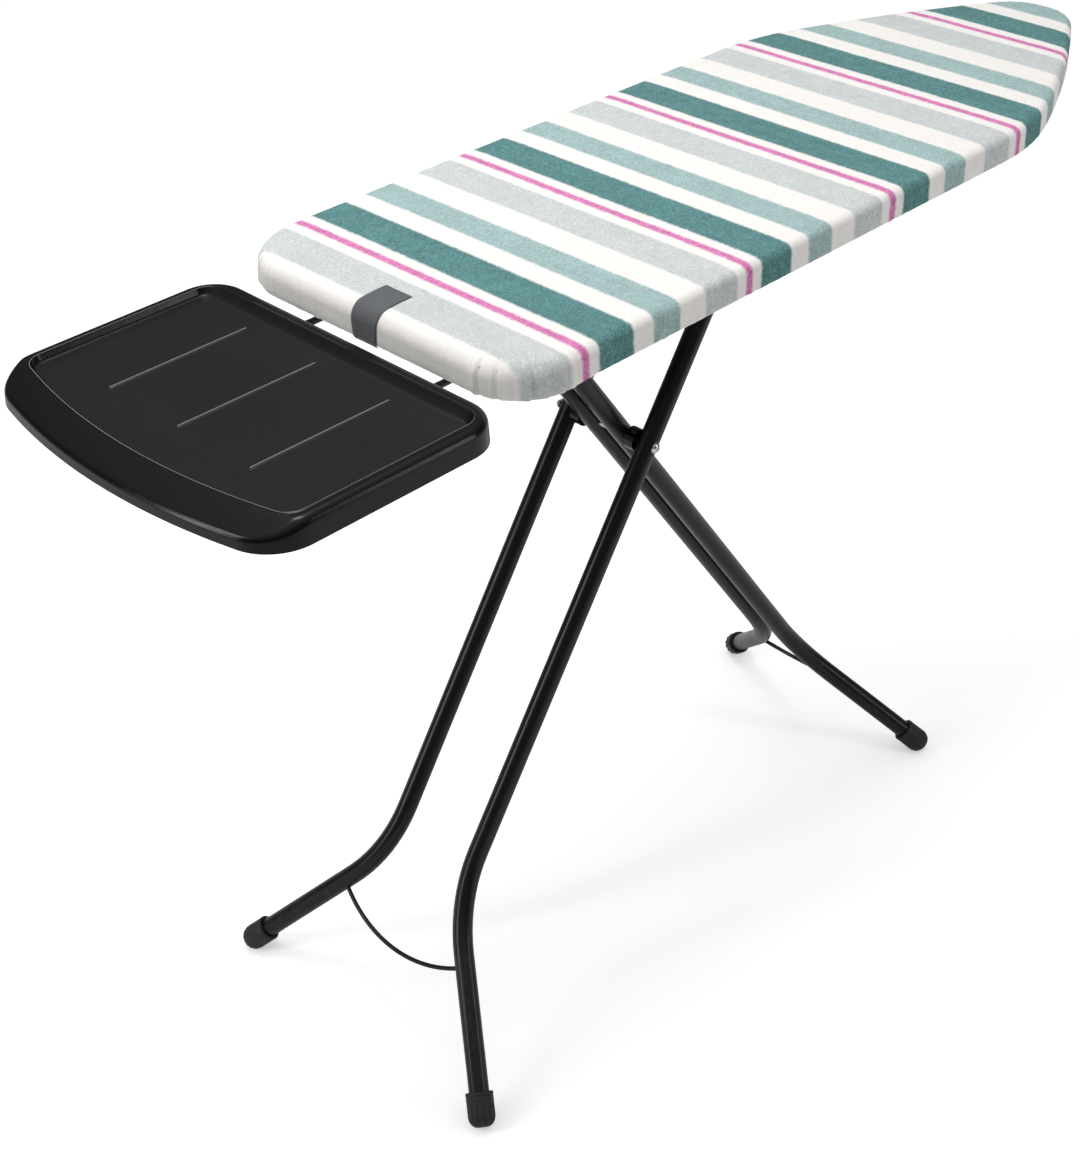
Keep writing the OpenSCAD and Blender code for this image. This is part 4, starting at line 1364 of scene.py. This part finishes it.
def foot_mesh():
    """Points and faces of a foot about its own axis, with flutes that fade out below the collar."""
    foot = settings().foot
    radius, length, bore = foot.radius, foot.length, foot.bore
    dome, tip, heel = 0.0125, 0.0055, 0.0017
    profile = [(0.0, -heel)]
    for turn in np.radians(np.linspace(10, 90, 11)):
        profile.append((tip + (radius - tip) * math.sin(turn), (dome + heel) * (1 - math.cos(turn)) - heel))
    for share in np.linspace(0.12, 1.0, 9):
        profile.append((radius - 0.0002 * share, dome + (length - 0.0055 - dome) * share))
    profile += [
        (radius - 0.0005, length - 0.0048),
        (radius + 0.0001, length - 0.0042),
        (radius + 0.0001, length - 0.0012),
        (radius - 0.0005, length - 0.0003),
        (radius - 0.0018, length),
        (bore + 0.0008, length),
        (bore, length - 0.0006),
        (bore, (length + foot.floor) / 2),
        (bore, foot.floor),
        (0.0, foot.floor),
    ]

    def fluted(r, height, turn):
        if r <= bore + 0.001 and height >= foot.floor:
            return r
        window = float(smooth(-0.001, 0.004, height)) * float(smooth(0.028, 0.024, height))
        ridge = (0.5 + 0.5 * math.cos(foot.flutes * turn)) ** 3
        return r - foot.flute * ridge * window

    return turned_body(profile, foot.flutes * 12, fluted)


def spring_mesh():
    """Points and faces of the catch's torsion spring: a helix with a straight leg at each end."""
    centre = (SPRING_LOW + SPRING_HIGH) / 2
    wire = 0.0006
    turn_radius = (SPRING_HIGH.z - SPRING_LOW.z) / 2 - wire
    turns, per_turn = 4.75, 28
    start_x, end_x = SPRING_LOW.x + wire, SPRING_HIGH.x - wire
    steps = int(turns * per_turn)
    path = []
    for k in range(steps + 1):
        share = k / steps
        turn = math.tau * turns * share
        x = start_x + (end_x - start_x) * share
        offset = Vector((0, math.cos(turn), math.sin(turn))) * turn_radius
        path.append(Vector((x, centre.y, centre.z)) + offset)
    last = math.tau * turns
    tail = Vector((0, -math.sin(last), math.cos(last)))
    legs_out = [path[-1] + tail * d for d in (0.003, 0.006, 0.009)]
    lead = [path[0] + Vector((0, 0, -1)) * d for d in (0.006, 0.003)]
    return swept(lead + path + legs_out, wire, 10)


# ---- Operators --------------------------------------------------------------


class MakeCover(bpy.types.Operator):
    """Sews the printed cotton cover, with its rolled edge, gathers and hem"""

    bl_idname = "ironing_board.make_cover"
    bl_label = "Cover"

    def execute(self, context):
        cover = settings().cover
        points, faces = cover_mesh()
        piece = new_object("printed_cover", points, faces, finish_of("printed_cotton"))
        thickened(piece, cover.cloth)
        belongs(piece, "board", "printed_cotton", "cover")
        edge, normals = board_edge(cover.step / 2)
        points, faces = stitch_row(edge, normals, cover.hem - 0.006, HEM_Z + 0.0004, 0.0042, 0.0028, 0.0003)
        stitches = new_object("hem_stitches", points, faces, finish_of("sewing_thread"))
        belongs(stitches, "board", "printed_cotton")
        return {"FINISHED"}


class MakePad(bpy.types.Operator):
    """Lays the felt pad on the deck"""

    bl_idname = "ironing_board.make_pad"
    bl_label = "Felt pad"

    def execute(self, context):
        points, faces = pad_mesh()
        piece = new_object("felt_pad", points, faces, finish_of("pad_felt"))
        belongs(piece, "board", "felt", "pad")
        return {"FINISHED"}


class MakeTab(bpy.types.Operator):
    """Sews the woven label tab over the heel's edge"""

    bl_idname = "ironing_board.make_tab"
    bl_label = "Label tab"

    def execute(self, context):
        points, faces = tab_mesh()
        piece = new_object("woven_tab", points, faces, finish_of("tab_cloth"))
        thickened(piece, 0.0005)
        belongs(piece, "board", "tab_cloth", "label_tab")
        return {"FINISHED"}


class MakeDeck(bpy.types.Operator):
    """Stretches the expanded-steel deck across the frame"""

    bl_idname = "ironing_board.make_deck"
    bl_label = "Steel deck"

    def execute(self, context):
        points, faces = deck_mesh()
        piece = new_object("steel_mesh_deck", points, faces, finish_of("zinc_plate"), smooth_shaded=False)
        thickened(piece, 0.0008, offset=1.0)
        belongs(piece, "board", "zinc_steel", "deck_sheet")
        return {"FINISHED"}


class MakeTray(bpy.types.Operator):
    """Moulds the iron rest's tray"""

    bl_idname = "ironing_board.make_tray"
    bl_label = "Iron rest tray"

    def execute(self, context):
        points, faces, painted_highlight, grained = tray_mesh()
        piece = new_object("moulded_tray", points, faces, finish_of("tray_plastic"))
        # The painted highlight of the lip and ribs, and the grained floor, as values on the points
        for name, values in (("painted lip highlight", painted_highlight), ("grained floor", grained)):
            layer = piece.data.attributes.new(name, "FLOAT", "POINT")
            layer.data.foreach_set("value", np.asarray(values, dtype=np.float32))
        thickened(piece, settings().tray.wall)
        belongs(piece, "board", "tray_plastic", "rest_tray")
        return {"FINISHED"}


class MakeFeet(bpy.types.Operator):
    """Pushes a fluted rubber foot on each leg"""

    bl_idname = "ironing_board.make_feet"
    bl_label = "Rubber feet"

    def execute(self, context):
        points, faces = foot_mesh()
        for pair, body, turned in (("outer", "outer_legs", True), ("inner", "inner_legs", False)):
            placed = foot_frame(getattr(settings(), body), turned)
            for side, sign in (("left", 1), ("right", -1)):
                moved = [placed @ p for p in points]
                moved = [(p.x, p.y * sign, max(p.z, 0.0)) for p in moved]
                facing = faces if sign > 0 else [face[::-1] for face in faces]
                name = f"{pair}_foot_{side}"
                piece = new_object(f"rubber_{name}", moved, facing, finish_of("foot_rubber"))
                belongs(piece, body, "foot_rubber", name)
        return {"FINISHED"}


class MakeSpring(bpy.types.Operator):
    """Winds the catch's torsion spring"""

    bl_idname = "ironing_board.make_spring"
    bl_label = "Catch spring"

    def execute(self, context):
        points, faces = spring_mesh()
        piece = new_object("wound_spring", points, faces, finish_of("bright_steel"))
        belongs(piece, "board", "zinc_steel", "catch_spring")
        return {"FINISHED"}


class FinishParts(bpy.types.Operator):
    """Finishes the steel, nylon and plastic parts that keep their own shapes"""

    bl_idname = "ironing_board.finish_parts"
    bl_label = "Metal and plastic finishes"

    def execute(self, context):
        finishes = {
            "black_powder": "powder_coat",
            "zinc_steel": "zinc_plate",
            "bright_steel": "bright_steel",
            "nylon": "natural_nylon",
            "tray_plastic": "tray_plastic",
            "foot_rubber": "foot_rubber",
        }
        slots = {part["node"]: part["material_slot"] for part in frame["record"]["subparts"]}
        for name, node in frame["nodes"].items():
            if node.hide_render:
                continue
            slot = slots[name]
            node.data.materials.clear()
            node.data.materials.append(finish_of(finishes[slot]))
        return {"FINISHED"}


class MakeStage(bpy.types.Operator):
    """Sets the floor, the lights and the camera"""

    bl_idname = "ironing_board.make_stage"
    bl_label = "Floor, lights and camera"

    def execute(self, context):
        stage = settings().stage
        scene = context.scene
        scene.view_settings.view_transform = "Standard"
        span = 12.0
        corners = [(-span, -span, 0), (span, -span, 0), (span, span, 0), (-span, span, 0)]
        floor = new_object("floor", corners, [(0, 1, 2, 3)], finish_of("studio_floor"), smooth_shaded=False)
        world = bpy.data.worlds.new("studio")
        world.use_nodes = True
        nodes = Nodes(world.node_tree)
        back = world.node_tree.nodes["Background"]
        back.inputs["Color"].default_value = (1.0, 1.0, 1.0, 1.0)
        direction = nodes.split(nodes.add("ShaderNodeTexCoord").outputs["Generated"])
        height = nodes.math("MAXIMUM", direction["Z"], 0.0)
        rise = nodes.math("POWER", height, 3.0)
        glow = nodes.between(rise, 0.0, 1.0, stage.horizon, stage.sky, kind="LINEAR")
        seen = nodes.add("ShaderNodeLightPath").outputs["Is Camera Ray"]
        white = nodes.math("MULTIPLY", seen, 0.96)
        nodes.feed(back.inputs["Strength"], nodes.math("MAXIMUM", glow, white))
        scene.world = world
        centre = (CAD_BOX[0] + CAD_BOX[1]) / 2
        soft_light("overhead", (centre.x - 0.25, 0.3, 3.0), centre, 1.0, 1.0, stage.key_power)
        soft_light("left_strip", (-2.7, 1.0, 1.7), centre, 0.35, 2.2, stage.strip_power)
        soft_light("right_strip", (1.4, -2.8, 1.6), centre, 0.35, 2.2, stage.strip_power * 0.6)
        camera = bpy.data.cameras.new("camera")
        camera.lens = stage.lens
        camera.sensor_width = 36.0
        camera.clip_end = 60.0
        holder = bpy.data.objects.new("camera", camera)
        scene.collection.objects.link(holder)
        holder.matrix_world = camera_frame(stage)
        scene.camera = holder
        return {"FINISHED"}


def soft_light(name, place, target, width, height, power):
    """A large soft light that points at the object."""
    lamp = bpy.data.lights.new(name, "AREA")
    lamp.shape = "RECTANGLE"
    lamp.size = width
    lamp.size_y = height
    lamp.energy = power
    holder = bpy.data.objects.new(name, lamp)
    bpy.context.scene.collection.objects.link(holder)
    holder.location = place
    holder.rotation_euler = (Vector(target) - Vector(place)).to_track_quat("-Z", "Y").to_euler()


def camera_frame(stage):
    """The camera's place and directions, from its azimuth, dip and roll."""
    a, e, roll = stage.azimuth, stage.dip, stage.roll
    ahead = Vector((-math.sin(a) * math.cos(e), math.cos(a) * math.cos(e), -math.sin(e)))
    level = Vector((math.cos(a), math.sin(a), 0))
    upright = level.cross(ahead)
    right = level * math.cos(roll) + upright * math.sin(roll)
    up = upright * math.cos(roll) - level * math.sin(roll)
    turned = Matrix((right, up, -ahead)).transposed()
    return Matrix.Translation(stage.camera_place) @ turned.to_4x4()


class IroningBoardPanel(bpy.types.Panel):
    """Lists the ironing board's pieces and settings"""

    bl_idname = "VIEW3D_PT_ironing_board"
    bl_label = "Ironing board"
    bl_space_type = "VIEW_3D"
    bl_region_type = "UI"
    bl_category = "Ironing board"

    def draw(self, context):
        for operator in OPERATORS:
            self.layout.operator(operator.bl_idname)
        for name in ("board", "cover", "tray", "outer_legs", "inner_legs", "foot", "palette", "stage"):
            box = self.layout.box()
            box.label(text=name.replace("_", " ").capitalize())
            group_settings = getattr(settings(), name)
            for key in group_settings.bl_rna.properties.keys():
                if key not in {"rna_type", "name"}:
                    box.prop(group_settings, key)


OPERATORS = (
    MakeStage, MakePad, MakeCover, MakeTab, MakeDeck, MakeTray, MakeFeet, MakeSpring, FinishParts,
)
CLASSES = (
    BoardShape, CoverShape, TrayShape, OuterLegShape, InnerLegShape, FootShape, Palette, StageSettings,
    IroningBoardSettings, *OPERATORS, IroningBoardPanel,
)


def register():
    """Adds the classes and the scene's settings."""
    for kind in CLASSES:
        bpy.utils.register_class(kind)
    bpy.types.Scene.ironing_board = PointerProperty(type=IroningBoardSettings)


def unregister():
    """Takes them away again."""
    del bpy.types.Scene.ironing_board
    for kind in reversed(CLASSES):
        bpy.utils.unregister_class(kind)


def main():
    """Builds the whole object and its stage."""
    register()
    for operator in OPERATORS:
        area, name = operator.bl_idname.split(".")
        getattr(getattr(bpy.ops, area), name)()


if __name__ == "__main__":
    main()
